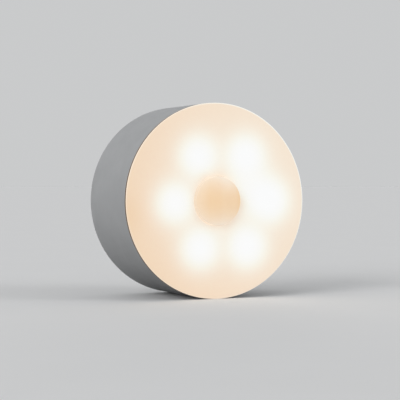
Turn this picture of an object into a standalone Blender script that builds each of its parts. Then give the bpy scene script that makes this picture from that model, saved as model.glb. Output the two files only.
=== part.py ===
"""A round battery motion sensor light, 80 mm across, with six warm LEDs round a sensor lens.

The lamp is laid out in its own frame: x to the right and y up as seen from the front, and z forward
from the flat back. One empty turns that frame, so that the back looks along +Y and the light shines
along -Y, with +Z up.
"""

from math import cos, pi, radians, sin

import bmesh
import bpy
from mathutils import Matrix, Vector

MM = 0.001

# Driving dimensions
BODY_RADIUS = 40.0 * MM
BODY_DEPTH = 40.5 * MM
WALL = 2.0 * MM
SEAT_GAP = 0.3 * MM
EPSILON = 1.0 * MM

# Front cover
COVER_THICKNESS = 1.6 * MM
COVER_EDGE = 0.5 * MM
COVER_SLOPE = 0.6 * MM
COVER_FILLET = 0.3 * MM
SHADOW_GROOVE = 0.7 * MM
SKIRT_RADIUS = 37.6 * MM
SKIRT_WALL = 1.3 * MM
SKIRT_END = 33.0 * MM
SNAP_BEAD = 0.7 * MM
SNAP_HEIGHT = 35.0 * MM

# Housing
RIM_HEIGHT = BODY_DEPTH - COVER_EDGE - SHADOW_GROOVE
INNER_RADIUS = BODY_RADIUS - WALL
BACK_EDGE_RADIUS = 1.0 * MM
INNER_FILLET = 1.0 * MM
RIB_COUNT = 6
RIB_TOP = 31.1 * MM
RIB_DEPTH = 1.5 * MM
RIB_THICKNESS = 1.4 * MM

# Sensor window
LENS_RADIUS = 10.0 * MM
LENS_PROUD = 1.5 * MM
LENS_RISE = 0.9 * MM
LENS_WALL = 0.9 * MM
LENS_FLANGE_RADIUS = 11.8 * MM
LENS_FLANGE = 1.0 * MM
FRESNEL_RINGS = 3
COLLAR_RADIUS = 10.6 * MM
COLLAR_WALL = 1.2 * MM

# Light board
BOARD_RADIUS = 36.0 * MM
BOARD_LOW = 25.0 * MM
BOARD_HIGH = 26.6 * MM
BOSS_RING = 33.0 * MM
BOSS_RADIUS = 2.8 * MM
BOSS_ANGLES = (90.0, 210.0, 330.0)
PILOT_RADIUS = 1.4 * MM
SCREW_RADIUS = 1.1 * MM
SCREW_LENGTH = 8.0 * MM
LED_COUNT = 6
LED_RING = 21.0 * MM
LED_SIZE = (3.5 * MM, 2.8 * MM, 0.9 * MM)
LED_WINDOW = 3.4 * MM
CHIP_PLACE = (3.0 * MM, 9.0 * MM)
CHIP_SIZE = (5.0 * MM, 2.0 * MM, 1.6 * MM)
DRIVER_PLACE = (12.0 * MM, -8.0 * MM)
DRIVER_SIZE = (1.5 * MM, 0.9 * MM, 1.2 * MM)
CAPACITOR_PLACE = (-13.0 * MM, -9.0 * MM, 0.0)

# Reflector
REFLECTOR_WALL = 1.0 * MM
REFLECTOR_FLOOR = 27.6 * MM
REFLECTOR_RADIUS = 37.2 * MM

# Battery bay: three AAA cells side by side, their length along x
CELL_RADIUS = 5.25 * MM
CELL_LENGTH = 44.5 * MM
CELL_NIPPLE = 1.0 * MM
CELL_NIPPLE_RADIUS = 1.9 * MM
CELL_PITCH = 11.2 * MM
CELL_HEIGHT = 7.75 * MM
CELL_END = 25.1 * MM
BAY_HALF_LENGTH = 26.5 * MM
BAY_HALF_WIDTH = 17.2 * MM
BAY_FLOOR = 13.4 * MM
BAY_WALL = 1.5 * MM

# Battery door
DOOR_HALF_LENGTH = 27.7 * MM
DOOR_HALF_WIDTH = 18.2 * MM
DOOR_OUT = 0.15 * MM
DOOR_IN = 1.6 * MM
DOOR_CORNER = 2.0 * MM
DOOR_LEDGE = 1.9 * MM
TONGUE_END = 29.4 * MM
TONGUE_HALF_WIDTH = 5.6 * MM
POCKET_END = 32.7 * MM
POCKET_FLOOR = 7.6 * MM
CLIP_LEFT = 28.6 * MM
CLIP_BEND = 1.6 * MM
CLIP_WALL = 0.8 * MM
CLIP_HALF_WIDTH = 5.0 * MM
CLIP_CENTRE = 5.0 * MM
CATCH = 0.6 * MM
SCOOP_RADIUS = 6.0 * MM
SCOOP_HALF_WIDTH = 4.5 * MM
SCOOP_DEPTH = 1.3 * MM
SCOOP_PLACE = 33.4 * MM
TAB_PLACES = (-10.0 * MM, 10.0 * MM)
TAB_HALF_WIDTH = 2.5 * MM
GRIP_PLACES = (22.6 * MM, 24.2 * MM, 25.8 * MM)
GRIP_DEPTH = 0.3 * MM

# Battery contacts
CONTACT_OUTER = 26.3 * MM
CONTACT_THICKNESS = 0.4 * MM
CONTACT_HALF_WIDTH = 4.5 * MM
CONTACT_TOP = 4.2 * MM
CONTACT_BOTTOM = 12.2 * MM
CONTACT_TAB_END = 17.5 * MM
CONTACT_TAB_HALF_WIDTH = 1.5 * MM
SPRING_WIRE = 0.6 * MM
SPRING_TURNS = 4.0
SPRING_POINTS = 8
SPRING_BASE = 3.6 * MM
SPRING_TIP = 2.2 * MM
LEAST_SPRING_GAP = 0.4 * MM

# Slide switch
SWITCH_PLACE = 26.5 * MM
SWITCH_STEP = 2.0 * MM
SWITCH_HALF_LENGTH = 6.2 * MM
SWITCH_HALF_WIDTH = 2.9 * MM
SWITCH_LOW = 3.8 * MM
SWITCH_HIGH = 8.6 * MM
SWITCH_PINS = (-2.5 * MM, 0.0, 2.5 * MM)
SWITCH_PIN_END = 11.5 * MM
WINDOW_HALF_LENGTH = 5.8 * MM
WINDOW_HALF_WIDTH = 3.0 * MM
WINDOW_FLOOR = 1.8 * MM
WINDOW_BOSS = 3.4 * MM
KNOB_HALF_LENGTH = 3.0 * MM
KNOB_HALF_WIDTH = 2.5 * MM
STEM_HALF_LENGTH = 1.5 * MM
STEM_HALF_WIDTH = 1.1 * MM
SLOT_HALF_LENGTH = STEM_HALF_LENGTH + SWITCH_STEP + 0.4 * MM
SLOT_HALF_WIDTH = STEM_HALF_WIDTH + 0.4 * MM

# Magnets in the back
MAGNET_RADIUS = 4.0 * MM
MAGNET_THICKNESS = 2.6 * MM
MAGNET_PLACES = tuple((x * MM, y * MM) for y in (26.0, -26.0) for x in (-18.0, 18.0))
POCKET_RING = 5.5 * MM

# Facets
FINE = 64
MEDIUM = 36
COARSE = 20
SMALL = 12


def clear_scene():
    for item in list(bpy.data.objects):
        bpy.data.objects.remove(item, do_unlink=True)


def finish(name, colour, roughness, metallic=0.0):
    material = bpy.data.materials.new(name)
    material.use_nodes = True
    shader = material.node_tree.nodes["Principled BSDF"]
    shader.inputs["Base Color"].default_value = (*colour, 1.0)
    shader.inputs["Roughness"].default_value = roughness
    shader.inputs["Metallic"].default_value = metallic
    return material


def to_mesh(bm, name):
    """The finished mesh of a piece: smooth faces with sharp edges over 35 degrees."""
    bmesh.ops.recalc_face_normals(bm, faces=bm.faces)
    mesh = bpy.data.meshes.new(name)
    bm.to_mesh(mesh)
    bm.free()
    mesh.shade_smooth()
    mesh.set_sharp_from_angle(angle=radians(35.0))
    return mesh


def place(name, data, parent, material=None, location=(0.0, 0.0, 0.0), rotation=(0.0, 0.0, 0.0)):
    item = bpy.data.objects.new(name, data)
    item.location = location
    item.rotation_euler = rotation
    item.parent = parent
    if material is not None and not data.materials:
        data.materials.append(material)
    bpy.context.scene.collection.objects.link(item)
    return item


def empty(name, parent=None, location=(0.0, 0.0, 0.0), rotation=(0.0, 0.0, 0.0)):
    return place(name, None, parent, None, location, rotation)


def turned(outline, segments, closed=True):
    """An outline of (radius, height) points swept once round z; an open outline starts and ends on z."""
    bm = bmesh.new()
    verts = [bm.verts.new((radius, 0.0, height)) for radius, height in outline]
    edges = [bm.edges.new(pair) for pair in zip(verts, verts[1:])]
    if closed:
        edges.append(bm.edges.new((verts[-1], verts[0])))
    bmesh.ops.spin(
        bm,
        geom=verts + edges,
        cent=(0.0, 0.0, 0.0),
        axis=(0.0, 0.0, 1.0),
        angle=2.0 * pi,
        steps=segments,
        use_merge=True,
    )
    bmesh.ops.remove_doubles(bm, verts=bm.verts, dist=1e-7)
    return bm


AXES = {
    "z": Matrix.Identity(4),
    "x": Matrix(((0, 0, 1, 0), (1, 0, 0, 0), (0, 1, 0, 0), (0, 0, 0, 1))),
    "y": Matrix(((1, 0, 0, 0), (0, 0, -1, 0), (0, 1, 0, 0), (0, 0, 0, 1))),
}


def prism(outline, low, high, along="z"):
    """An outline extruded from low to high. Along z it holds (x, y), along x (y, z), along y (x, z)."""
    bm = bmesh.new()
    if along == "y":
        low, high = -high, -low
    face = bm.faces.new([bm.verts.new((first, second, low)) for first, second in outline])
    grown = bmesh.ops.extrude_face_region(bm, geom=[face])
    top = [item for item in grown["geom"] if isinstance(item, bmesh.types.BMVert)]
    bmesh.ops.translate(bm, verts=top, vec=(0.0, 0.0, high - low))
    bmesh.ops.transform(bm, matrix=AXES[along], verts=bm.verts)
    return bm


def box(x, y, z):
    return prism(rectangle(x, y), z[0], z[1])


def loft(sections):
    """A solid through a stack of (outline, height) sections with equal numbers of points."""
    bm = bmesh.new()
    rings = []
    for outline, height in sections:
        verts = [bm.verts.new((x, y, height)) for x, y in outline]
        rings.append([bm.edges.new(pair) for pair in zip(verts, verts[1:] + verts[:1])])
    for lower, upper in zip(rings, rings[1:]):
        bmesh.ops.bridge_loops(bm, edges=lower + upper)
    for ring in (rings[0], rings[-1]):
        bmesh.ops.contextual_create(bm, geom=ring)
    return bm


def rectangle(x, y):
    return [(x[0], y[0]), (x[1], y[0]), (x[1], y[1]), (x[0], y[1])]


def arc(centre, radius, start, end, steps):
    """Points on an arc, with the angles in degrees."""
    angles = [radians(start + (end - start) * i / steps) for i in range(steps + 1)]
    return [(centre[0] + radius * cos(a), centre[1] + radius * sin(a)) for a in angles]


def round_rectangle(centre, half_x, half_y, radius, steps=4):
    outline = []
    for quarter, (sign_x, sign_y) in enumerate(((1, 1), (-1, 1), (-1, -1), (1, -1))):
        middle = (centre[0] + sign_x * (half_x - radius), centre[1] + sign_y * (half_y - radius))
        outline += arc(middle, radius, 90.0 * quarter, 90.0 * quarter + 90.0, steps)
    return outline


def disc(centre, radius, low, high, segments=COARSE):
    """A round bar or hole along z, with flats and not corners towards x and y."""
    step = 360.0 / segments
    return prism(arc(centre, radius, 0.5 * step, 360.0 - 0.5 * step, segments - 1), low, high)


def on_ring(radius, angle):
    return radius * cos(radians(angle)), radius * sin(radians(angle))


def combine(target, bm, operation, name):
    """Fuses a helper shape into a piece, or cuts it out of the piece."""
    helper = place(f"{target.name}_{name}", to_mesh(bm, name), target.parent)
    helper.location = target.location
    helper.hide_render = True
    helper.display_type = "WIRE"
    modifier = target.modifiers.new(name, "BOOLEAN")
    modifier.operation = operation
    modifier.solver = "EXACT"
    modifier.object = helper


def fuse(target, bm, name):
    combine(target, bm, "UNION", name)


def cut(target, bm, name):
    combine(target, bm, "DIFFERENCE", name)


def door_outline(grow=0.0):
    """The battery door's outline, with the tongue that carries its clip on the +x side."""
    half_x = DOOR_HALF_LENGTH + grow
    half_y = DOOR_HALF_WIDTH + grow
    tongue_x = POCKET_END if grow else TONGUE_END
    tongue_y = TONGUE_HALF_WIDTH + grow
    body = round_rectangle((0.0, 0.0), half_x, half_y, DOOR_CORNER + grow)
    tongue = [(half_x, -tongue_y), (tongue_x, -tongue_y), (tongue_x, tongue_y), (half_x, tongue_y)]
    return body + tongue


def cell_rows():
    """Each cell's y, and the side (+1 or -1 along x) that its positive end faces."""
    return ((CELL_PITCH, 1), (0.0, -1), (-CELL_PITCH, 1))


def make_housing(lamp, plastic):
    """The cup: side wall, back, battery bay, clip pocket, switch window, bosses, magnet pockets, ribs."""
    groove_low = SNAP_HEIGHT - 1.0 * MM
    groove_high = SNAP_HEIGHT + 1.0 * MM
    groove_radius = INNER_RADIUS + SNAP_BEAD
    rim_chamfer = 0.2 * MM
    back_corner = (BODY_RADIUS - BACK_EDGE_RADIUS, BACK_EDGE_RADIUS)
    inner_corner = (INNER_RADIUS - INNER_FILLET, WALL + INNER_FILLET)
    outline = [(0.0, 0.0)]
    outline += arc(back_corner, BACK_EDGE_RADIUS, -90.0, 0.0, 4)
    outline += [
        (BODY_RADIUS, RIM_HEIGHT - rim_chamfer),
        (BODY_RADIUS - rim_chamfer, RIM_HEIGHT),
        (INNER_RADIUS + rim_chamfer, RIM_HEIGHT),
        (INNER_RADIUS, RIM_HEIGHT - rim_chamfer),
        (INNER_RADIUS, groove_high),
        (groove_radius, groove_high - 0.5 * MM),
        (groove_radius, groove_low + 0.5 * MM),
        (INNER_RADIUS, groove_low),
    ]
    outline += arc(inner_corner, INNER_FILLET, 0.0, -90.0, 3)
    outline += [(0.0, WALL)]
    cup = to_mesh(turned(outline, FINE, closed=False), "housing")
    housing = place("housing", cup, lamp, plastic)

    root = WALL - EPSILON
    bay_x = DOOR_HALF_LENGTH + SEAT_GAP + BAY_WALL
    bay_y = DOOR_HALF_WIDTH + SEAT_GAP + BAY_WALL
    fuse(housing, box((-bay_x, bay_x), (-bay_y, bay_y), (root, BAY_FLOOR + BAY_WALL)), "bay")
    clip_y = TONGUE_HALF_WIDTH + SEAT_GAP + 1.3 * MM
    fuse(
        housing,
        box((bay_x - EPSILON, POCKET_END + 1.9 * MM), (-clip_y, clip_y), (root, POCKET_FLOOR + BAY_WALL)),
        "clip_pocket",
    )
    for index, angle in enumerate(BOSS_ANGLES):
        boss = disc(on_ring(BOSS_RING, angle), BOSS_RADIUS, root, BOARD_LOW - SEAT_GAP, SMALL)
        fuse(housing, boss, f"boss_{index + 1}")
    for index, centre in enumerate(MAGNET_PLACES):
        fuse(housing, disc(centre, POCKET_RING, root, WALL + 2.4 * MM), f"magnet_ring_{index + 1}")
    for index in range(RIB_COUNT):
        rib = box(
            (INNER_RADIUS - RIB_DEPTH, INNER_RADIUS + 0.5 * WALL),
            (-0.5 * RIB_THICKNESS, 0.5 * RIB_THICKNESS),
            (root, RIB_TOP),
        )
        turn = Matrix.Rotation(2.0 * pi * index / RIB_COUNT, 4, "Z")
        bmesh.ops.transform(rib, matrix=turn, verts=rib.verts)
        fuse(housing, rib, f"rib_{index + 1}")
    surround = 1.4 * MM
    window = round_rectangle(
        (0.0, SWITCH_PLACE), WINDOW_HALF_LENGTH + surround, WINDOW_HALF_WIDTH + surround, 1.5 * MM
    )
    fuse(housing, prism(window, root, WINDOW_BOSS), "window_boss")
    for side in (-1, 1):
        inner_face = SWITCH_HALF_LENGTH + SEAT_GAP
        post = sorted((side * inner_face, side * (inner_face + 1.2 * MM)))
        fuse(
            housing,
            box(post, (SWITCH_PLACE - 2.0 * MM, SWITCH_PLACE + 2.0 * MM), (root, SWITCH_HIGH)),
            f"switch_post_{'left' if side < 0 else 'right'}",
        )

    cut(
        housing,
        box((-BAY_HALF_LENGTH, BAY_HALF_LENGTH), (-BAY_HALF_WIDTH, BAY_HALF_WIDTH), (-EPSILON, BAY_FLOOR)),
        "bay_hollow",
    )
    cut(housing, prism(door_outline(SEAT_GAP), -EPSILON, DOOR_LEDGE), "door_seat")
    pocket_left = DOOR_HALF_LENGTH + SEAT_GAP
    pocket_y = TONGUE_HALF_WIDTH + SEAT_GAP
    pocket_side = [
        (pocket_left, -EPSILON),
        (POCKET_END, -EPSILON),
        (POCKET_END, WALL + 0.2 * MM),
        (POCKET_END + 0.7 * MM, WALL + 0.4 * MM),
        (POCKET_END + 0.7 * MM, WALL + 1.4 * MM),
        (POCKET_END, WALL + 2.1 * MM),
        (POCKET_END, POCKET_FLOOR),
        (pocket_left, POCKET_FLOOR),
    ]
    cut(housing, prism(pocket_side, -pocket_y, pocket_y, "y"), "clip_hollow")
    scoop = disc((0.0, 0.0), SCOOP_RADIUS, -SCOOP_HALF_WIDTH, SCOOP_HALF_WIDTH, MEDIUM)
    lay = Matrix.Translation((SCOOP_PLACE, 0.0, SCOOP_DEPTH - SCOOP_RADIUS))
    lay = lay @ Matrix.Rotation(radians(90.0), 4, "X")
    bmesh.ops.transform(scoop, matrix=lay, verts=scoop.verts)
    cut(housing, scoop, "finger_scoop")
    for index, middle in enumerate(TAB_PLACES):
        slot = box(
            (-DOOR_HALF_LENGTH - 2.6 * MM, -BAY_HALF_LENGTH + 0.2 * MM),
            (middle - TAB_HALF_WIDTH - 0.5 * MM, middle + TAB_HALF_WIDTH + 0.5 * MM),
            (DOOR_LEDGE - 0.05 * MM, WALL + 2.4 * MM),
        )
        cut(housing, slot, f"tab_slot_{index + 1}")
    for side, row in ((-1, CELL_PITCH), (1, -CELL_PITCH)):
        clearance = 0.4 * MM
        outer = CONTACT_OUTER + clearance
        inner = CONTACT_OUTER - CONTACT_THICKNESS - clearance
        span = sorted((side * outer, side * inner))
        reach = CONTACT_TAB_HALF_WIDTH + 0.3 * MM
        cut(
            housing,
            box(span, (row - reach, row + reach), (BAY_FLOOR - 0.5 * MM, BAY_FLOOR + BAY_WALL + EPSILON)),
            f"terminal_slot_{'left' if side < 0 else 'right'}",
        )
    for index, angle in enumerate(BOSS_ANGLES):
        foot = BOARD_LOW - SCREW_LENGTH - EPSILON
        hole = disc(on_ring(BOSS_RING, angle), PILOT_RADIUS, foot, BOARD_HIGH, SMALL)
        cut(housing, hole, f"pilot_{index + 1}")
    for index, centre in enumerate(MAGNET_PLACES):
        hollow = disc(centre, MAGNET_RADIUS + SEAT_GAP, WALL, WALL + 4.0 * MM)
        cut(housing, hollow, f"magnet_hollow_{index + 1}")
    recess = round_rectangle((0.0, SWITCH_PLACE), WINDOW_HALF_LENGTH, WINDOW_HALF_WIDTH, 0.8 * MM)
    cut(housing, prism(recess, -EPSILON, WINDOW_FLOOR), "window_recess")
    slot = rectangle(
        (-SLOT_HALF_LENGTH, SLOT_HALF_LENGTH),
        (SWITCH_PLACE - SLOT_HALF_WIDTH, SWITCH_PLACE + SLOT_HALF_WIDTH),
    )
    cut(housing, prism(slot, WINDOW_FLOOR - 0.5 * MM, WINDOW_BOSS + EPSILON), "window_slot")

    for index, row in enumerate((-0.5 * CELL_PITCH, 0.5 * CELL_PITCH)):
        ridge = [
            (row - 2.0 * MM, BAY_FLOOR + 0.5 * MM),
            (row - 2.0 * MM, BAY_FLOOR),
            (row - 0.4 * MM, BAY_FLOOR - 2.5 * MM),
            (row + 0.4 * MM, BAY_FLOOR - 2.5 * MM),
            (row + 2.0 * MM, BAY_FLOOR),
            (row + 2.0 * MM, BAY_FLOOR + 0.5 * MM),
        ]
        fuse(housing, prism(ridge, -16.0 * MM, 16.0 * MM, "x"), f"cradle_ridge_{index + 1}")
    return housing


def make_cover(lamp, plastic):
    """The frosted front cover: flat face, soft edge, skirt with its snap bead, rim round the lens."""
    inner = BODY_DEPTH - COVER_THICKNESS
    edge_low = BODY_DEPTH - COVER_EDGE
    skirt_inner = SKIRT_RADIUS - SKIRT_WALL
    hole = LENS_RADIUS + SEAT_GAP
    rim_inner = LENS_FLANGE_RADIUS + SEAT_GAP
    rim_low = inner - SEAT_GAP - LENS_FLANGE
    bead = INNER_RADIUS + 0.3 * MM
    fillet = (BODY_RADIUS - COVER_FILLET, BODY_DEPTH - COVER_FILLET)
    outline = [(hole, inner), (hole, BODY_DEPTH - 0.2 * MM), (hole + 0.2 * MM, BODY_DEPTH)]
    outline += arc(fillet, COVER_FILLET, 90.0, 0.0, 3)
    outline += [
        (BODY_RADIUS, edge_low),
        (SKIRT_RADIUS, edge_low - COVER_SLOPE),
        (SKIRT_RADIUS, SNAP_HEIGHT + 0.6 * MM),
        (bead, SNAP_HEIGHT + 0.2 * MM),
        (bead, SNAP_HEIGHT - 0.2 * MM),
        (SKIRT_RADIUS, SNAP_HEIGHT - 0.8 * MM),
        (SKIRT_RADIUS - 0.3 * MM, SKIRT_END),
        (skirt_inner, SKIRT_END),
        (skirt_inner, inner),
        (rim_inner + 1.1 * MM, inner),
        (rim_inner + 1.0 * MM, rim_low),
        (rim_inner, rim_low),
        (rim_inner, inner),
    ]
    place("front_cover", to_mesh(turned(outline, FINE), "front_cover"), lamp, plastic)


def lens_height(radius):
    """Height of the lens's shallow dome, which rises above its upright edge."""
    sphere = (LENS_RADIUS**2 + LENS_RISE**2) / (2.0 * LENS_RISE)
    return BODY_DEPTH + LENS_PROUD + LENS_RISE - sphere + (sphere**2 - radius**2) ** 0.5


def make_lens(lamp, plastic):
    """The milky sensor lens: a shallow dome outside, stepped Fresnel rings inside, a flange behind."""
    edge = BODY_DEPTH + LENS_PROUD
    shoulder = 0.35 * MM
    flange_high = BODY_DEPTH - COVER_THICKNESS - SEAT_GAP
    flange_low = flange_high - LENS_FLANGE
    inner_radius = LENS_RADIUS - LENS_WALL
    steps = 5
    outline = [(0.0, edge + LENS_RISE)]
    for index in range(1, steps + 1):
        radius = (LENS_RADIUS - shoulder) * index / steps
        outline.append((radius, lens_height(radius)))
    outline += [
        (LENS_RADIUS, edge - 0.2 * MM),
        (LENS_RADIUS, flange_high),
        (LENS_FLANGE_RADIUS, flange_high),
        (LENS_FLANGE_RADIUS, flange_low),
        (inner_radius, flange_low),
        (inner_radius, edge - LENS_WALL),
    ]
    ring_width = inner_radius / (FRESNEL_RINGS + 1)
    for index in range(FRESNEL_RINGS, 0, -1):
        radius = ring_width * index
        height = lens_height(radius) - LENS_WALL
        outline += [(radius, height - 0.25 * MM), (radius - 0.05 * MM, height)]
    outline.append((0.0, edge + LENS_RISE - LENS_WALL - 0.2 * MM))
    place("sensor_lens", to_mesh(turned(outline, MEDIUM, closed=False), "sensor_lens"), lamp, plastic)


def make_collar(lamp, plastic):
    """The tube that keeps the LEDs' light off the sensor and holds the lens up from behind."""
    low = BOARD_HIGH + SEAT_GAP
    high = BODY_DEPTH - COVER_THICKNESS - 2.0 * SEAT_GAP - LENS_FLANGE
    inner = COLLAR_RADIUS - COLLAR_WALL
    outline = [
        (inner, low),
        (COLLAR_RADIUS + 0.6 * MM, low),
        (COLLAR_RADIUS + 0.6 * MM, low + 0.5 * MM),
        (COLLAR_RADIUS, low + 0.5 * MM),
        (COLLAR_RADIUS - 0.2 * MM, high),
        (inner, high),
    ]
    place("sensor_collar", to_mesh(turned(outline, MEDIUM), "sensor_collar"), lamp, plastic)


def make_reflector(lamp, plastic):
    """The white dish round the LEDs, with a window over each."""
    low = REFLECTOR_FLOOR
    high = low + REFLECTOR_WALL
    flange_low = RIB_TOP + SEAT_GAP
    flange_high = SKIRT_END - SEAT_GAP
    hole = COLLAR_RADIUS + 0.9 * MM
    outline = [
        (hole, low + 3.4 * MM),
        (14.2 * MM, low),
        (28.0 * MM, low),
        (34.0 * MM, flange_low),
        (REFLECTOR_RADIUS, flange_low),
        (REFLECTOR_RADIUS, flange_high),
        (33.6 * MM, flange_high),
        (27.7 * MM, high),
        (14.8 * MM, high),
        (hole + 0.5 * MM, low + 4.4 * MM),
        (hole, low + 4.4 * MM),
    ]
    reflector = place("reflector", to_mesh(turned(outline, MEDIUM), "reflector"), lamp, plastic)
    for index in range(LED_COUNT):
        centre = on_ring(LED_RING, 60.0 * index)
        cut(reflector, disc(centre, LED_WINDOW, low - EPSILON, high + EPSILON, 20), f"window_{index + 1}")


def make_board(lamp, laminate):
    """The round circuit board with its screw holes and the sensor's three pin holes."""
    outline = [(0.0, BOARD_LOW), (BOARD_RADIUS, BOARD_LOW), (BOARD_RADIUS, BOARD_HIGH), (0.0, BOARD_HIGH)]
    plate = to_mesh(turned(outline, MEDIUM, closed=False), "circuit_board")
    board = place("circuit_board", plate, lamp, laminate)
    for index, angle in enumerate(BOSS_ANGLES):
        hole = disc(on_ring(BOSS_RING, angle), PILOT_RADIUS, BOARD_LOW - EPSILON, BOARD_HIGH + EPSILON, SMALL)
        cut(board, hole, f"screw_hole_{index + 1}")
    for index, centre in enumerate(sensor_pins()):
        hole = disc(centre, 0.6 * MM, BOARD_LOW - EPSILON, BOARD_HIGH + EPSILON, 8)
        cut(board, hole, f"pin_hole_{index + 1}")


def sensor_pins():
    return [on_ring(2.54 * MM, angle) for angle in (45.0, 135.0, 225.0)]


def make_leds(lamp, phosphor):
    """Six surface-mounted LEDs: a square body with a shallow round-cornered cup of phosphor."""
    half_x, half_y, height = 0.5 * LED_SIZE[0], 0.5 * LED_SIZE[1], LED_SIZE[2]
    body = round_rectangle((0.0, 0.0), half_x, half_y, 0.25 * MM, 2)
    rim = round_rectangle((0.0, 0.0), half_x - 0.4 * MM, half_y - 0.4 * MM, 0.5 * MM, 2)
    floor = round_rectangle((0.0, 0.0), half_x - 0.55 * MM, half_y - 0.55 * MM, 0.4 * MM, 2)
    sections = ((body, 0.0), (body, height), (rim, height), (floor, height - 0.25 * MM))
    mesh = to_mesh(loft(sections), "led")
    for index in range(LED_COUNT):
        angle = 60.0 * index
        x, y = on_ring(LED_RING, angle)
        place(
            f"led_{index + 1}",
            mesh,
            lamp,
            phosphor,
            (x, y, BOARD_HIGH + SEAT_GAP),
            (0.0, 0.0, radians(angle)),
        )


def make_sensor(lamp, metal):
    """The pyroelectric sensor: a can with a flange, a window in its top, and three pins."""
    base = BOARD_HIGH + SEAT_GAP
    outline = [
        (0.0, base),
        (4.8 * MM, base),
        (4.8 * MM, base + 0.5 * MM),
        (4.2 * MM, base + 0.6 * MM),
        (4.2 * MM, base + 4.0 * MM),
        (3.9 * MM, base + 4.3 * MM),
        (0.0, base + 4.3 * MM),
    ]
    can = to_mesh(turned(outline, MEDIUM, closed=False), "motion_sensor")
    sensor = place("motion_sensor", can, lamp, metal)
    for index, centre in enumerate(sensor_pins()):
        fuse(sensor, disc(centre, 0.25 * MM, BOARD_LOW - 1.5 * MM, base + 0.3 * MM, 8), f"pin_{index + 1}")
    window = rectangle((-2.0 * MM, 2.0 * MM), (-1.5 * MM, 1.5 * MM))
    cut(sensor, prism(window, base + 4.0 * MM, base + 5.0 * MM), "window")


def make_light_sensor(lamp, resin):
    """The small domed phototransistor beside the motion sensor, which keeps the lamp off by day."""
    base = BOARD_HIGH + SEAT_GAP
    outline = [(0.0, base), (1.7 * MM, base), (1.7 * MM, base + 0.8 * MM), (1.4 * MM, base + 0.8 * MM)]
    outline += arc((0.0, base + 2.4 * MM), 1.4 * MM, 0.0, 90.0, 4)[:-1]
    outline.append((0.0, base + 3.8 * MM))
    mesh = to_mesh(turned(outline, COARSE, closed=False), "light_sensor")
    place("light_sensor", mesh, lamp, resin, (7.1 * MM, 0.0, 0.0))


def comb(half_x, half_y, legs, pitch, leg_width, reach):
    """The outline of a chip's lead frame: a bar with legs along both long sides."""
    outline = []
    for side in (-1, 1):
        for index in range(legs):
            middle = side * (-0.5 * (legs - 1) + index) * pitch * -1.0
            first = middle + side * 0.5 * leg_width
            last = middle - side * 0.5 * leg_width
            outline += [
                (first, side * half_y),
                (first, side * (half_y + reach)),
                (last, side * (half_y + reach)),
                (last, side * half_y),
            ]
        outline.append((-side * half_x, side * half_y))
        outline.append((-side * half_x, -side * half_y))
    return outline


def make_chip(lamp, resin, name, centre, size, legs, pitch, leg_width):
    """A black moulded chip on the board's rear side, with its row of legs on either side."""
    half_x, half_y, height = size
    high = BOARD_LOW - SEAT_GAP
    body = box(
        (centre[0] - half_x, centre[0] + half_x),
        (centre[1] - half_y, centre[1] + half_y),
        (high - height, high - 0.1 * MM),
    )
    chip = place(name, to_mesh(body, name), lamp, resin)
    frame = comb(half_x - 0.3 * MM, half_y - 0.3 * MM, legs, pitch, leg_width, 1.2 * MM)
    shifted = [(x + centre[0], y + centre[1]) for x, y in frame]
    fuse(chip, prism(shifted, high - 0.6 * MM, high - 0.25 * MM), "legs")


def make_capacitor(lamp, metal):
    """The electrolytic capacitor, standing on the board's rear side."""
    high = BOARD_LOW - SEAT_GAP
    outline = [
        (0.0, high - 7.0 * MM),
        (2.9 * MM, high - 7.0 * MM),
        (3.15 * MM, high - 6.7 * MM),
        (3.15 * MM, high - 1.6 * MM),
        (2.8 * MM, high - 1.3 * MM),
        (3.15 * MM, high - 1.0 * MM),
        (3.0 * MM, high),
        (0.0, high),
    ]
    mesh = to_mesh(turned(outline, COARSE, closed=False), "capacitor")
    place("capacitor", mesh, lamp, metal, CAPACITOR_PLACE)


def cross(reach, half_width):
    """The outline of a cross recess with four equal arms."""
    outline = []
    for turn in range(4):
        c, s = on_ring(1.0, 90.0 * turn)
        for x, y in ((half_width, -half_width), (reach, -half_width), (reach, half_width)):
            outline.append((c * x - s * y, s * x + c * y))
    return outline


def make_screws(lamp, metal):
    """Three pan-head screws with a cross recess, which hold the board down on its bosses."""
    head_low = BOARD_HIGH + SEAT_GAP
    outline = [
        (0.0, head_low - SCREW_LENGTH),
        (0.5 * MM, head_low - SCREW_LENGTH),
        (SCREW_RADIUS, head_low - SCREW_LENGTH + 1.2 * MM),
        (SCREW_RADIUS, head_low),
        (2.1 * MM, head_low),
        (2.1 * MM, head_low + 0.8 * MM),
        (1.5 * MM, head_low + 1.3 * MM),
        (0.0, head_low + 1.5 * MM),
    ]
    mesh = to_mesh(turned(outline, SMALL, closed=False), "board_screw")
    for index, angle in enumerate(BOSS_ANGLES):
        x, y = on_ring(BOSS_RING, angle)
        screw = place(f"board_screw_{index + 1}", mesh, lamp, metal, (x, y, 0.0))
        cut(screw, prism(cross(1.2 * MM, 0.3 * MM), head_low + 0.7 * MM, head_low + 2.0 * MM), "recess")


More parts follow.
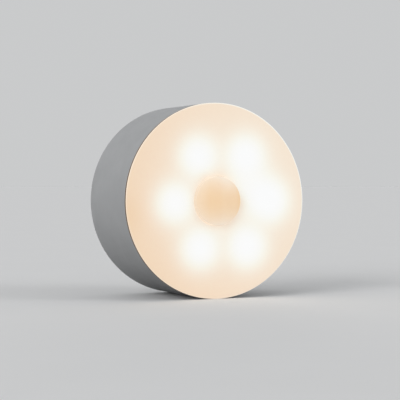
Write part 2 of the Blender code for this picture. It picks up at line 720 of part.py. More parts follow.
def make_cells(lamp, sleeve):
    """Three AAA cells, the middle one turned round."""
    body = CELL_LENGTH - CELL_NIPPLE
    outline = [
        (0.0, 0.0),
        (CELL_RADIUS - 0.9 * MM, 0.0),
        (CELL_RADIUS - 0.5 * MM, 0.3 * MM),
        (CELL_RADIUS, 0.4 * MM),
        (CELL_RADIUS, body - 0.4 * MM),
        (CELL_RADIUS - 0.4 * MM, body),
        (CELL_RADIUS - 1.4 * MM, body - 0.3 * MM),
        (CELL_NIPPLE_RADIUS, body - 0.2 * MM),
        (CELL_NIPPLE_RADIUS - 0.1 * MM, CELL_LENGTH),
        (0.0, CELL_LENGTH),
    ]
    mesh = to_mesh(turned(outline, COARSE, closed=False), "battery_cell")
    for index, (row, side) in enumerate(cell_rows()):
        start = (side * (CELL_END - CELL_LENGTH), row, CELL_HEIGHT)
        place(f"battery_cell_{index + 1}", mesh, lamp, sleeve, start, (0.0, side * radians(90.0), 0.0))


def make_contact(lamp, metal, name, side, low, high, button, terminal):
    """A contact plate at one end of the bay, with a button for a positive end and a soldered terminal."""
    outline = [(low, CONTACT_TOP), (high, CONTACT_TOP), (high, CONTACT_BOTTOM)]
    if terminal is not None:
        outline += [
            (terminal + CONTACT_TAB_HALF_WIDTH, CONTACT_BOTTOM),
            (terminal + CONTACT_TAB_HALF_WIDTH, CONTACT_TAB_END),
            (terminal - CONTACT_TAB_HALF_WIDTH, CONTACT_TAB_END),
            (terminal - CONTACT_TAB_HALF_WIDTH, CONTACT_BOTTOM),
        ]
    outline.append((low, CONTACT_BOTTOM))
    span = sorted((side * CONTACT_OUTER, side * (CONTACT_OUTER - CONTACT_THICKNESS)))
    contact = place(name, to_mesh(prism(outline, span[0], span[1], "x"), name), lamp, metal)
    if button is None:
        return
    face = CONTACT_OUTER - CONTACT_THICKNESS
    profile = [(0.0, 0.0), (2.2 * MM, 0.0), (2.2 * MM, 0.2 * MM), (1.5 * MM, 0.7 * MM), (0.0, 0.7 * MM)]
    bump = turned(profile, COARSE, closed=False)
    turn = Matrix.Translation((side * (face + 0.2 * MM), button, CELL_HEIGHT))
    turn = turn @ Matrix.Rotation(radians(-90.0 * side), 4, "Y")
    bmesh.ops.transform(bump, matrix=turn, verts=bump.verts)
    fuse(contact, bump, "button")


def make_contacts(lamp, metal):
    wide = CONTACT_HALF_WIDTH
    first, last = CELL_PITCH, -CELL_PITCH
    make_contact(lamp, metal, "contact_negative", -1, first - wide, first + wide, None, first)
    make_contact(lamp, metal, "contact_bridge_left", -1, last - wide, wide, 0.0, None)
    make_contact(lamp, metal, "contact_bridge_right", 1, -wide, first + wide, first, None)
    make_contact(lamp, metal, "contact_positive", 1, last - wide, last + wide, last, last)


def spring_points(length):
    """A cone-shaped coil along z: wide at the plate, narrow at the cell."""
    count = int(SPRING_TURNS * SPRING_POINTS)
    points = []
    for index in range(count + 1):
        share = index / count
        radius = SPRING_BASE + (SPRING_TIP - SPRING_BASE) * share
        angle = 2.0 * pi * SPRING_TURNS * share
        points.append((radius * cos(angle), radius * sin(angle), length * share))
    return points


def least_coil_gap(points):
    """The least clear space between turns, measured on the coil's own points."""
    half_turn = SPRING_POINTS // 2
    return min(
        (Vector(first) - Vector(second)).length
        for index, first in enumerate(points)
        for second in points[index + half_turn:]
    ) - SPRING_WIRE


def wire_curve(name, points, radius, parent, material, location=(0.0, 0.0, 0.0), rotation=(0.0, 0.0, 0.0)):
    """A round wire along a line of points, with closed ends."""
    curve = bpy.data.curves.new(name, "CURVE")
    curve.dimensions = "3D"
    curve.bevel_depth = radius
    curve.bevel_resolution = 1
    curve.use_fill_caps = True
    spline = curve.splines.new("POLY")
    spline.points.add(len(points) - 1)
    for point, co in zip(spline.points, points):
        point.co = (*co, 1.0)
    curve.materials.append(material)
    return place(name, curve, parent, None, location, rotation)


def make_springs(lamp, metal):
    """A coil spring at the negative end of each cell."""
    plate = CONTACT_OUTER - CONTACT_THICKNESS - SEAT_GAP - 0.5 * SPRING_WIRE
    cell = CELL_LENGTH - CELL_END + SEAT_GAP + 0.5 * SPRING_WIRE
    points = spring_points(plate - cell)
    gap = least_coil_gap(points)
    print(f"least gap between the turns of a spring: {gap / MM:.2f} mm")
    if gap < LEAST_SPRING_GAP:
        raise ValueError("the springs' turns are too close")
    for index, (row, side) in enumerate(cell_rows()):
        wire_curve(
            f"contact_spring_{index + 1}",
            points,
            0.5 * SPRING_WIRE,
            lamp,
            metal,
            (-side * plate, row, CELL_HEIGHT),
            (0.0, side * radians(90.0), 0.0),
        )


def make_door(lamp, plastic):
    """The battery door, hung where its tabs swing: plate, tabs, ribs, spring clip, grip grooves, arrow."""
    hinge = empty("door_hinge", lamp, (-DOOR_HALF_LENGTH - SEAT_GAP, 0.0, 0.0))
    back = (DOOR_HALF_LENGTH + SEAT_GAP, 0.0, 0.0)
    plate = to_mesh(prism(door_outline(), DOOR_OUT, DOOR_IN), "battery_door")
    door = place("battery_door", plate, hinge, plastic, back)
    for index, middle in enumerate(TAB_PLACES):
        left = -DOOR_HALF_LENGTH - 1.5 * MM
        foot = -DOOR_HALF_LENGTH + 0.1 * MM
        right = -BAY_HALF_LENGTH + 0.1 * MM
        under = WALL + 0.4 * MM
        hook = [(foot, DOOR_IN - 0.5 * MM), (foot, under), (left, under), (left, under + 0.7 * MM)]
        hook += [(left + 0.3 * MM, under + 1.0 * MM), (right, under + 1.0 * MM), (right, DOOR_IN - 0.5 * MM)]
        span = (middle - TAB_HALF_WIDTH, middle + TAB_HALF_WIDTH)
        fuse(door, prism(hook, span[0], span[1], "y"), f"tab_{index + 1}")
    bend = (CLIP_LEFT + CLIP_BEND, CLIP_CENTRE)
    right = CLIP_LEFT + 2.0 * CLIP_BEND
    clip = [(CLIP_LEFT, DOOR_IN - 0.5 * MM)]
    clip += arc(bend, CLIP_BEND, 180.0, 0.0, 8)
    clip += [
        (right, WALL + 1.8 * MM),
        (right + CATCH, WALL + 1.2 * MM),
        (right + CATCH, WALL + 0.7 * MM),
        (right, WALL + 0.4 * MM),
        (right, DOOR_OUT),
        (right - CLIP_WALL, DOOR_OUT),
    ]
    clip += arc(bend, CLIP_BEND - CLIP_WALL, 0.0, 180.0, 8)
    clip.append((CLIP_LEFT + CLIP_WALL, DOOR_IN - 0.5 * MM))
    fuse(door, prism(clip, -CLIP_HALF_WIDTH, CLIP_HALF_WIDTH, "y"), "clip")
    for index, x in enumerate((-12.0 * MM, 12.0 * MM)):
        height = (DOOR_IN - 0.4 * MM, DOOR_IN + 0.5 * MM)
        rib = box((x - 0.6 * MM, x + 0.6 * MM), (-15.0 * MM, 15.0 * MM), height)
        fuse(door, rib, f"rib_{index + 1}")
    sunk = DOOR_OUT + GRIP_DEPTH
    for index, x in enumerate(GRIP_PLACES):
        groove = round_rectangle((x, 0.0), 0.45 * MM, 5.0 * MM, 0.3 * MM, 2)
        cut(door, prism(groove, -EPSILON, sunk), f"grip_groove_{index + 1}")
    arrow = [(16.5 * MM, -2.6 * MM), (20.4 * MM, 0.0), (16.5 * MM, 2.6 * MM)]
    cut(door, prism(arrow, -EPSILON, sunk), "arrow")


def make_switch(lamp, metal, plastic):
    """The three-position slide switch and the knob that slides in the window in the back."""
    body = round_rectangle((0.0, SWITCH_PLACE), SWITCH_HALF_LENGTH, SWITCH_HALF_WIDTH, 0.4 * MM, 1)
    switch = place("switch_body", to_mesh(prism(body, SWITCH_LOW, SWITCH_HIGH), "switch_body"), lamp, metal)
    slot = rectangle(
        (-SLOT_HALF_LENGTH, SLOT_HALF_LENGTH),
        (SWITCH_PLACE - SLOT_HALF_WIDTH, SWITCH_PLACE + SLOT_HALF_WIDTH),
    )
    cut(switch, prism(slot, SWITCH_LOW - EPSILON, SWITCH_LOW + 2.0 * MM), "slot")
    for index, x in enumerate(SWITCH_PINS):
        pin = box(
            (x - 0.3 * MM, x + 0.3 * MM),
            (SWITCH_PLACE - 0.5 * MM, SWITCH_PLACE + 0.5 * MM),
            (SWITCH_HIGH - 0.5 * MM, SWITCH_PIN_END),
        )
        fuse(switch, pin, f"pin_{index + 1}")
    centre = empty("knob_centre", lamp, (0.0, SWITCH_PLACE, 0.0))
    cap = round_rectangle((0.0, 0.0), KNOB_HALF_LENGTH, KNOB_HALF_WIDTH, 0.6 * MM)
    cap_mesh = to_mesh(prism(cap, 0.7 * MM, WINDOW_FLOOR - SEAT_GAP), "switch_knob")
    knob = place("switch_knob", cap_mesh, centre, plastic)
    stem = box(
        (-STEM_HALF_LENGTH, STEM_HALF_LENGTH),
        (-STEM_HALF_WIDTH, STEM_HALF_WIDTH),
        (WINDOW_FLOOR - SEAT_GAP - 0.3 * MM, SWITCH_LOW + 1.6 * MM),
    )
    fuse(knob, stem, "stem")
    for index, x in enumerate((-1.6 * MM, 0.0, 1.6 * MM)):
        grip = box((x - 0.35 * MM, x + 0.35 * MM), (-2.0 * MM, 2.0 * MM), (0.3 * MM, 1.0 * MM))
        fuse(knob, grip, f"grip_{index + 1}")


def make_magnets(lamp, metal):
    """Four small magnets in the back, which hold the lamp to a steel face."""
    mesh = to_mesh(disc((0.0, 0.0), MAGNET_RADIUS, 0.0, MAGNET_THICKNESS), "magnet")
    for index, (x, y) in enumerate(MAGNET_PLACES):
        place(f"magnet_{index + 1}", mesh, lamp, metal, (x, y, WALL + SEAT_GAP))


def bowed_path(start, end, bow, steps=12):
    """Points of a short wire that leaves and arrives near upright and bows out between."""
    start, end, bow = Vector(start), Vector(end), Vector(bow)
    points = []
    for index in range(steps + 1):
        share = index / steps
        eased = share * share * (3.0 - 2.0 * share)
        flat = start.lerp(end, eased)
        flat.z = start.z + (end.z - start.z) * share
        points.append(tuple(flat + bow * sin(pi * share) ** 2))
    return points


def make_wires(lamp, red, black, white):
    """The battery leads and the switch leads, from their terminals up to the board."""
    radius = 0.55 * MM
    top = BOARD_LOW - SEAT_GAP
    low = CONTACT_TAB_END + SEAT_GAP
    middle = CONTACT_OUTER - 0.5 * CONTACT_THICKNESS
    pad_x, pad_y = 22.0 * MM, 15.0 * MM
    bow_x, bow_y = 2.0 * MM, 1.0 * MM
    negative = bowed_path((-middle, CELL_PITCH, low), (-pad_x, pad_y, top), (-bow_x, bow_y, 0.0))
    positive = bowed_path((middle, -CELL_PITCH, low), (pad_x, -pad_y, top), (bow_x, -bow_y, 0.0))
    wire_curve("battery_wire_negative", negative, radius, lamp, black)
    wire_curve("battery_wire_positive", positive, radius, lamp, red)
    for index, x in enumerate(SWITCH_PINS):
        path = bowed_path(
            (x, SWITCH_PLACE, SWITCH_PIN_END + SEAT_GAP),
            (1.6 * x, SWITCH_PLACE - 4.0 * MM, top),
            (0.3 * x, 1.2 * MM, 0.0),
        )
        wire_curve(f"switch_wire_{index + 1}", path, radius, lamp, white)


def main():
    clear_scene()
    lamp = empty("lamp_frame", rotation=(radians(90.0), 0.0, 0.0))

    white = finish("white_plastic", (0.72, 0.72, 0.71), 0.45)
    frosted = finish("frosted_plastic", (0.93, 0.84, 0.72), 0.38)
    milky = finish("milky_lens", (0.88, 0.68, 0.46), 0.35)
    bright = finish("reflector_white", (0.9, 0.9, 0.88), 0.4)
    laminate = finish("board_laminate", (0.86, 0.88, 0.85), 0.35)
    phosphor = finish("led_phosphor", (0.95, 0.72, 0.2), 0.3)
    can = finish("plated_steel", (0.66, 0.65, 0.62), 0.25, 1.0)
    spring_steel = finish("contact_steel", (0.72, 0.71, 0.68), 0.22, 1.0)
    resin = finish("black_resin", (0.02, 0.02, 0.022), 0.5)
    clear_resin = finish("tinted_resin", (0.1, 0.09, 0.1), 0.15)
    sleeve = finish("cell_sleeve", (0.05, 0.16, 0.11), 0.3)
    knob = finish("knob_plastic", (0.06, 0.06, 0.065), 0.4)
    red = finish("red_insulation", (0.5, 0.02, 0.015), 0.4)
    black = finish("black_insulation", (0.015, 0.015, 0.016), 0.4)
    pale = finish("white_insulation", (0.75, 0.75, 0.73), 0.4)

    make_housing(lamp, white)
    make_cover(lamp, frosted)
    make_lens(lamp, milky)
    make_collar(lamp, bright)
    make_reflector(lamp, bright)
    make_board(lamp, laminate)
    make_leds(lamp, phosphor)
    make_sensor(lamp, can)
    make_light_sensor(lamp, clear_resin)
    make_chip(lamp, resin, "controller_chip", CHIP_PLACE, CHIP_SIZE, 8, 1.27 * MM, 0.45 * MM)
    make_chip(lamp, resin, "led_driver", DRIVER_PLACE, DRIVER_SIZE, 2, 1.9 * MM, 0.5 * MM)
    make_capacitor(lamp, can)
    make_screws(lamp, can)
    make_cells(lamp, sleeve)
    make_contacts(lamp, spring_steel)
    make_springs(lamp, spring_steel)
    make_door(lamp, white)
    make_switch(lamp, can, knob)
    make_magnets(lamp, can)
    make_wires(lamp, red, black, pale)


main()
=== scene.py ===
"""Looks of a round battery motion sensor light: lit, standing on its edge, with its six spots of light."""

from math import cos, pi, radians, sin

import bmesh
import bpy
from mathutils import Matrix, Vector


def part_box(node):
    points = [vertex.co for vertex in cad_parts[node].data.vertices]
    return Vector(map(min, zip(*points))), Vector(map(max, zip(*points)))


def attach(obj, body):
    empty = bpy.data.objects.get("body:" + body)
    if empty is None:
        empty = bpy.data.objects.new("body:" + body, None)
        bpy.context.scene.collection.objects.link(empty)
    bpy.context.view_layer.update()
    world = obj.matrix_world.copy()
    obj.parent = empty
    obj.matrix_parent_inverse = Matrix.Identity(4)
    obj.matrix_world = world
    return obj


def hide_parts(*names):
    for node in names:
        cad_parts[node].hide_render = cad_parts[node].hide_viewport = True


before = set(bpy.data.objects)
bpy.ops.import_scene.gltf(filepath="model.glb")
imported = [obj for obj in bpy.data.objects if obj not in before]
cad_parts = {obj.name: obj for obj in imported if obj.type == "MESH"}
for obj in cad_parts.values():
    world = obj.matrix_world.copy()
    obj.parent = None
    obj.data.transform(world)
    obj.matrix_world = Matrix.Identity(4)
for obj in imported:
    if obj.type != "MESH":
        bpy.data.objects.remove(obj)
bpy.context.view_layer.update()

# Sizes are in millimetres, in the lamp's own frame, which has x right, y up and z forward from the back.
# Meshes are built in metres, and finish_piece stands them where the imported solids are.
MM = 0.001
LAMP_FRAME = Matrix.Rotation(radians(90.0), 4, "X")

# Body sizes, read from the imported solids
BODY_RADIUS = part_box("housing")[1].x / MM
RIM_HEIGHT = -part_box("housing")[0].y / MM
BODY_DEPTH = -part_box("front_cover")[0].y / MM
LENS_FLANGE_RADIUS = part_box("sensor_lens")[1].x / MM

# Fits and facets
SEAT_GAP = 0.3
OVERSHOOT = 1.0  # how far a cutter or a root reaches past a surface
SUPPORT = 0.5  # a flat strip beside a rounding, which keeps the flat's shading even
SAME_POINT = 0.001  # closer than this, two points are one
ROUND = 160
HOLE = 40
CORNER_STEPS = 6
SHARP_EDGE = 35.0  # degrees between faces, from which an edge is rounded
SHARP_SHADING = 32.0  # degrees between faces, from which the shading breaks

# Housing
WALL = 2.0
INNER_RADIUS = BODY_RADIUS - WALL
BACK_EDGE_RADIUS = 1.0
RIM_ROUND = 0.2
RECESS_FLARE = 0.25
SNAP_HEIGHT = 35.0
SNAP_BEAD = 0.7
RIB_COUNT = 6
RIB_TOP = 31.1
RIB_DEPTH = 1.5
RIB_THICKNESS = 1.4
BOSS_RING = 33.0
BOSS_RADIUS = 2.8
BOSS_ANGLES = (90.0, 210.0, 330.0)
PILOT_RADIUS = 1.4
PILOT_DEPTH = 9.0

# Front cover and lens
COVER_THICKNESS = 1.6
COVER_BACK = BODY_DEPTH - COVER_THICKNESS
COVER_EDGE = 0.5
COVER_SLOPE = 0.6
COVER_FILLET = 0.3
COVER_LIP = 0.2
SKIRT_RADIUS = 37.6
SKIRT_WALL = 1.3
SKIRT_END = 33.0
LENS_RADIUS = 10.0
LENS_PROUD = 1.5
LENS_EDGE = BODY_DEPTH + LENS_PROUD
LENS_RISE = 0.9
LENS_WALL = 0.9
LENS_FLANGE = 1.0
LENS_FLANGE_TOP = COVER_BACK - SEAT_GAP
LENS_SHOULDER = 0.35
DOME_STEPS = 14
FRESNEL_RINGS = 9

# Battery bay and door
BAY_HALF_LENGTH = 26.5
BAY_HALF_WIDTH = 17.2
BAY_FLOOR = 13.4
BAY_WALL = 1.5
DOOR_HALF_LENGTH = 27.7
DOOR_HALF_WIDTH = 18.2
DOOR_OUT = 0.15
DOOR_IN = 1.6
DOOR_CORNER = 2.0
DOOR_LEDGE = 1.9
DOOR_SUNK = 0.3
DOOR_RIBS = (-12.0, 12.0)
GRIP_GROOVES = (22.6, 24.2, 25.8)
ARROW = ((16.5, -2.6), (20.4, 0.0), (16.5, 2.6))
TONGUE_END = 29.4
TONGUE_HALF_WIDTH = 5.6
POCKET_END = 32.7
POCKET_FLOOR = 7.6
POCKET_END_WALL = 1.9
POCKET_SIDE_WALL = 1.3
CLIP_LEFT = 28.6
CLIP_BEND = 1.6
CLIP_WALL = 0.8
CLIP_HALF_WIDTH = 5.0
CLIP_CENTRE = 5.0
CATCH = 0.6
SCOOP_RADIUS = 6.0
SCOOP_HALF_WIDTH = 4.5
SCOOP_DEPTH = 1.3
SCOOP_PLACE = 33.4
TAB_PLACES = (-10.0, 10.0)
TAB_HALF_WIDTH = 2.5

# Cells and contacts
CELL_RADIUS = 5.25
CELL_LENGTH = 44.5
CELL_NIPPLE = 1.0
CELL_NIPPLE_RADIUS = 1.9
CELL_PITCH = 11.2
CELL_HEIGHT = 7.75
CELL_END = 25.1
CELL_ROWS = ((CELL_PITCH, 1), (0.0, -1), (-CELL_PITCH, 1))
SLEEVE_COLOUR = (0.035, 0.13, 0.085)
PRINT_COLOUR = (0.62, 0.63, 0.6)
# Printed bars: how far along the cell, half length, half width
CELL_PRINT = (
    (12.0, 1.5, 0.35),
    (12.0, 0.35, 1.5),
    (-16.0, 1.5, 0.35),
    (16.2, 0.5, 20.0),
    (-20.0, 0.25, 20.0),
)
CONTACT_OUTER = 26.3
CONTACT_THICKNESS = 0.4
CONTACT_FACE = CONTACT_OUTER - CONTACT_THICKNESS
CONTACT_HALF_WIDTH = 4.5
CONTACT_TOP = 4.2
CONTACT_BOTTOM = 12.2
CONTACT_TAB_END = 17.5
CONTACT_TAB_HALF_WIDTH = 1.5
SPRING_WIRE = 0.6
SPRING_TURNS = 4.0
SPRING_POINTS = 28
SPRING_BASE = 3.6
SPRING_TIP = 2.2

# Light board and what it carries
BOARD_LOW = 25.0
BOARD_HIGH = 26.6
BOARD_RADIUS = 36.0
ON_BOARD = BOARD_HIGH + SEAT_GAP
UNDER_BOARD = BOARD_LOW - SEAT_GAP
COLLAR_RADIUS = 10.6
COLLAR_WALL = 1.2
COLLAR_FOOT = 0.6
REFLECTOR_WALL = 1.0
REFLECTOR_FLOOR = 27.6
REFLECTOR_RADIUS = 37.2
LED_COUNT = 6
LED_RING = 21.0
LED_SIZE = (3.5, 2.8, 0.9)
LED_WINDOW = 3.4
SENSOR_PIN_RING = 2.54
SENSOR_PIN_ANGLES = (45.0, 135.0, 225.0)
LIGHT_SENSOR_PLACE = (7.1, 0.0, 0.0)
# Chips: name, node, centre, half length and width and height, legs on a side, their pitch and width
CHIPS = (
    ("chip_moulding", "controller_chip", (3.0, 9.0), (5.0, 2.0, 1.6), 8, 1.27, 0.45),
    ("driver_moulding", "led_driver", (12.0, -8.0), (1.5, 0.9, 1.2), 2, 1.9, 0.5),
)
CAPACITOR_PLACE = (-13.0, -9.0, 0.0)
SCREW_RADIUS = 1.1
SCREW_LENGTH = 8.0
SCREW_HEAD_RADIUS = 2.1
THREAD_TURNS = 7
THREAD_PITCH = 0.8
THREAD_LENGTH = 6.4
THREAD_DEPTH = 0.2

# Slide switch
SWITCH_PLACE = 26.5
SWITCH_STEP = 2.0
SWITCH_LOW = 3.8
SWITCH_HIGH = 8.6
SWITCH_HALF_LENGTH = 6.2
SWITCH_HALF_WIDTH = 2.9
SWITCH_PINS = (-2.5, 0.0, 2.5)
SWITCH_PIN_END = 11.5
SWITCH_WORDS = (("ON", 9.0), ("AUTO", 0.0), ("OFF", -9.0))
WORDS_ABOVE_SWITCH = 6.2
LETTER_HEIGHT = 3.0
LETTER_DEPTH = 0.15
WINDOW_HALF_LENGTH = 5.8
WINDOW_HALF_WIDTH = 3.0
WINDOW_FLOOR = 1.8
WINDOW_BOSS = 3.4
WINDOW_SURROUND = 1.4
POST_THICKNESS = 1.2
KNOB_HALF_LENGTH = 3.0
KNOB_HALF_WIDTH = 2.5
KNOB_LOW = 0.7
KNOB_GRIPS = (-1.6, 0.0, 1.6)
GRIP_LOW = 0.3
STEM_HALF_LENGTH = 1.5
STEM_HALF_WIDTH = 1.1
SLOT_HALF_LENGTH = STEM_HALF_LENGTH + SWITCH_STEP + 0.4
SLOT_HALF_WIDTH = STEM_HALF_WIDTH + 0.4

# Magnets and leads
MAGNET_RADIUS = 4.0
MAGNET_THICKNESS = 2.6
MAGNET_PLACES = tuple((x, y) for y in (26.0, -26.0) for x in (-18.0, 18.0))
MAGNET_RING_RADIUS = 5.5
MAGNET_RING_HEIGHT = 2.4
LEAD_RADIUS = 0.55
LEAD_STEPS = 28

# Where a noise stays, of its range of 0 to 1
NOISE_LOW, NOISE_HIGH = 0.3, 0.7

# Light through the cover: six spots on a ring, drawn on the lamp's face. Each uneven place has a centre, a
# size and a light, which is negative where the cover is darker.
SPOT_COUNT = 6
SPOT_RING = 21.4
SPOT_CENTRE = (2.8, -0.4)
SPOT_TURN = 1.0
SPOT_SIZE = 6.4
SPOT_EDGE = 1.65
SPOT_LIGHT = 3.35
SPOT_LEAN = 0.12
SOFT_EDGE = 2.0
COLLAR_SHADE = 0.25
COLLAR_SHADE_SIZE = 2.8
UNEVEN_PLACES = (
    ((16.2, 4.5), 8.8, 1.5),
    ((-6.0, 10.5), 3.0, -0.3),
    ((1.5, -11.7), 3.0, 0.15),
    ((-11.5, 0.0), 3.5, -0.1),
    ((12.0, 0.0), 4.0, -0.6),
    ((-1.0, 12.0), 4.5, -0.1),
    ((-39.0, -5.0), 8.0, -0.1),
)
HALO_SIZE = 34.0
HALO_EDGE = 4.0
HALO_LIGHT = 0.2
EVEN_LIGHT = 0.15
LIGHT_RIGHT = 0.15
LIGHT_UP = 0.07
DARKEST_LEVEL = 0.49
BRIGHTEST_LEVEL = 0.985
LIT_COLOURS = (
    (0.40, (0.860, 0.625, 0.405)),
    (0.55, (0.900, 0.720, 0.550)),
    (0.65, (0.915, 0.790, 0.650)),
    (0.75, (0.931, 0.863, 0.750)),
    (0.85, (0.942, 0.925, 0.850)),
    (0.97, (0.958, 0.960, 0.958)),
)
COVER_COLOUR = (0.34, 0.29, 0.22)
ROOM_LIGHT = 0.67

# The cover's rim, with a painted highlight all round that is stronger towards the upper right, and the
# little light that leaves its skirt and the gap round the lens
EDGE_HEIGHT = BODY_DEPTH - 0.35
SKIRT_LIGHT = 0.03
RIM_LIGHT_WIDTH = 0.7
RIM_LIGHT = 0.08
RIM_LIGHT_RIGHT = 0.2
RIM_LIGHT_UP = 0.6
LENS_GAP_REACH = 1.2 * LENS_RADIUS
LENS_GAP_LIGHT = 0.55

# Light through the lens: its level in the middle, and what is added towards its top and bottom, its left,
# its right and its upper right corner, for each millimetre past a place
LENS_COLOURS = (
    (0.40, (0.893, 0.645, 0.405)),
    (0.55, (0.918, 0.735, 0.550)),
    (0.65, (0.925, 0.795, 0.650)),
    (0.75, (0.931, 0.863, 0.750)),
)
LENS_COLOUR = (0.34, 0.26, 0.17)
LENS_LEVEL = 0.404
LENS_ENDS_LIGHT = 0.24
LENS_LEFT, LENS_LEFT_LIGHT = -4.2, 0.02
LENS_RIGHT_LIGHT, LENS_RIGHT_MOST = 0.012, 0.024
LENS_FAR_RIGHT, LENS_FAR_RIGHT_LIGHT = 7.6, -0.019
LENS_CORNER = ((5.0, 7.5), 4.0, SOFT_EDGE, 0.06)
LENS_SIDE_UP = -0.5
LENS_EDGE_BAND = (LENS_RADIUS - 0.35 * LENS_SHOULDER, LENS_RADIUS - 0.02 * LENS_SHOULDER)
LENS_ROUND_BAND = (LENS_RADIUS - 0.8 * LENS_SHOULDER, LENS_RADIUS - 0.2 * LENS_SHOULDER)
# Painted shade on the lens's rounded edge and in the gap round it, and painted paler light on the edge's
# left
LENS_EDGE_SHADE = 0.2
LENS_EDGE_PALE_LIGHT = 0.08
LENS_SHOULDER_SHADE = 0.05
LENS_GAP_SHADE = 0.11

# Stage, light and camera. The floor is in metres, and the camera's place in lamp radii.
FLOOR_HEIGHT = -BODY_RADIUS * MM
FLOOR_REACH = 30.0
FLOOR_COLOUR = (0.77, 0.77, 0.77)
FLOOR_BOUNCE = (0.2, 0.2, 0.2)
BACKDROP_COLOUR = (0.587, 0.594, 0.599)
SKY_COLOUR = (0.97, 0.985, 1.0)
SKY_STRENGTH = 0.5
# Broad lamps: name, azimuth, elevation, strength, softness, whether shiny pieces show them
SUNS = (
    ("key", 50.0, 28.0, 0.5, 30.0, True),
    ("side", -65.0, 20.0, 1.57, 40.0, True),
    ("back", 155.0, 2.0, 1.1, 40.0, False),
)
PHOTO_WIDTH = 400.0
FOCAL_PIXELS = 1325.0
SENSOR_WIDTH = 36.0
CAMERA_YAW = 25.16
CAMERA_PITCH = -0.66
CAMERA_DISTANCE = 13.51
CAMERA_ASIDE = 0.174
CAMERA_RISE = 0.1647


# Building meshes


def moved(bm, matrix):
    bmesh.ops.transform(bm, matrix=matrix, verts=bm.verts)
    return bm


def shift(x, y, z):
    return Matrix.Translation((x * MM, y * MM, z * MM))


def merged(bm):
    bmesh.ops.remove_doubles(bm, verts=bm.verts, dist=SAME_POINT * MM)
    return bm


def facing_out(bm):
    bmesh.ops.recalc_face_normals(bm, faces=bm.faces)
    return bm


def turned(outline, steps=ROUND):
    """An outline of (radius, height) points swept once round z. One that starts on z ends on it too."""
    bm = bmesh.new()
    verts = [bm.verts.new((radius * MM, 0.0, height * MM)) for radius, height in outline]
    edges = [bm.edges.new(pair) for pair in zip(verts, verts[1:])]
    if outline[0][0] > 0.0:
        edges.append(bm.edges.new((verts[-1], verts[0])))
    bmesh.ops.spin(
        bm,
        geom=verts + edges,
        cent=(0.0, 0.0, 0.0),
        axis=(0.0, 0.0, 1.0),
        angle=2.0 * pi,
        steps=steps,
        use_merge=True,
    )
    return merged(bm)


AXES = {
    "z": Matrix.Identity(4),
    "x": Matrix(((0, 0, 1, 0), (1, 0, 0, 0), (0, 1, 0, 0), (0, 0, 0, 1))),
    "y": Matrix(((1, 0, 0, 0), (0, 0, -1, 0), (0, 1, 0, 0), (0, 0, 0, 1))),
}


def prism(outline, low, high, along="z"):
    """An outline extruded from low to high. Along z it holds (x, y), along x (y, z), along y (x, z)."""
    bm = bmesh.new()
    if along == "y":
        low, high = -high, -low
    corners = [bm.verts.new((first * MM, second * MM, low * MM)) for first, second in outline]
    face = bm.faces.new(corners)
    grown = bmesh.ops.extrude_face_region(bm, geom=[face])
    top = [item for item in grown["geom"] if isinstance(item, bmesh.types.BMVert)]
    bmesh.ops.translate(bm, verts=top, vec=(0.0, 0.0, high * MM - low * MM))
    return facing_out(moved(bm, AXES[along]))


def loft(sections):
    """A solid through a stack of (outline, height) sections with equal numbers of points."""
    bm = bmesh.new()
    rings = []
    for outline, height in sections:
        verts = [bm.verts.new((x * MM, y * MM, height * MM)) for x, y in outline]
        rings.append([bm.edges.new(pair) for pair in zip(verts, verts[1:] + verts[:1])])
    for lower, upper in zip(rings, rings[1:]):
        bmesh.ops.bridge_loops(bm, edges=lower + upper)
    for ring in (rings[0], rings[-1]):
        bmesh.ops.contextual_create(bm, geom=ring)
    return facing_out(bm)


def around(middle, half):
    return middle - half, middle + half


def on_side(side, near, far):
    """The span between two distances from the middle, on the side given as -1 or 1."""
    return sorted((side * near, side * far))


def rectangle(x, y):
    return [(x[0], y[0]), (x[1], y[0]), (x[1], y[1]), (x[0], y[1])]


def box(x, y, z):
    return prism(rectangle(x, y), z[0], z[1])


def arc(centre, radius, start, end, steps):
    """Points on an arc, with the angles in degrees."""
    angles = [radians(start + (end - start) * i / steps) for i in range(steps + 1)]
    return [(centre[0] + radius * cos(a), centre[1] + radius * sin(a)) for a in angles]


def round_rectangle(centre, half_x, half_y, radius):
    outline = []
    for quarter, (sign_x, sign_y) in enumerate(((1, 1), (-1, 1), (-1, -1), (1, -1))):
        middle = (centre[0] + sign_x * (half_x - radius), centre[1] + sign_y * (half_y - radius))
        outline += arc(middle, radius, 90.0 * quarter, 90.0 * quarter + 90.0, CORNER_STEPS)
    return outline


def disc(centre, radius, low, high, segments=HOLE):
    """A round bar or hole along z, with flats and not corners towards x and y."""
    step = 360.0 / segments
    return prism(arc(centre, radius, 0.5 * step, 360.0 - 0.5 * step, segments - 1), low, high)


def on_ring(radius, angle):
    return radius * cos(radians(angle)), radius * sin(radians(angle))


def soften(bm, width, segments=2, choose=None):
    """Rounds a solid's sharp edges, or those that choose picks."""
    sharp = [edge for edge in bm.edges if edge.calc_face_angle(0.0) > radians(SHARP_EDGE)]
    if choose is not None:
        sharp = [edge for edge in sharp if choose(edge)]
    bmesh.ops.bevel(
        bm,
        geom=sharp,
        offset=width * MM,
        offset_type="OFFSET",
        segments=segments,
        profile=0.5,
        affect="EDGES",
        clamp_overlap=True,
        material=-1,
    )
    return bm


def lying_at(height):
    """Picks the edges that lie at a height or below it."""
    return lambda edge: 0.5 * (edge.verts[0].co.z + edge.verts[1].co.z) < (height + 0.01) * MM


def from_curve(curve):
    """A wire or lettering as a closed mesh."""
    guide = bpy.data.objects.new(curve.name, curve)
    bpy.context.scene.collection.objects.link(guide)
    graph = bpy.context.evaluated_depsgraph_get()
    mesh = bpy.data.meshes.new_from_object(guide.evaluated_get(graph))
    bpy.data.objects.remove(guide)
    bm = bmesh.new()
    bm.from_mesh(mesh)
    bpy.data.meshes.remove(mesh)
    return merged(bm)


# Turning meshes into pieces


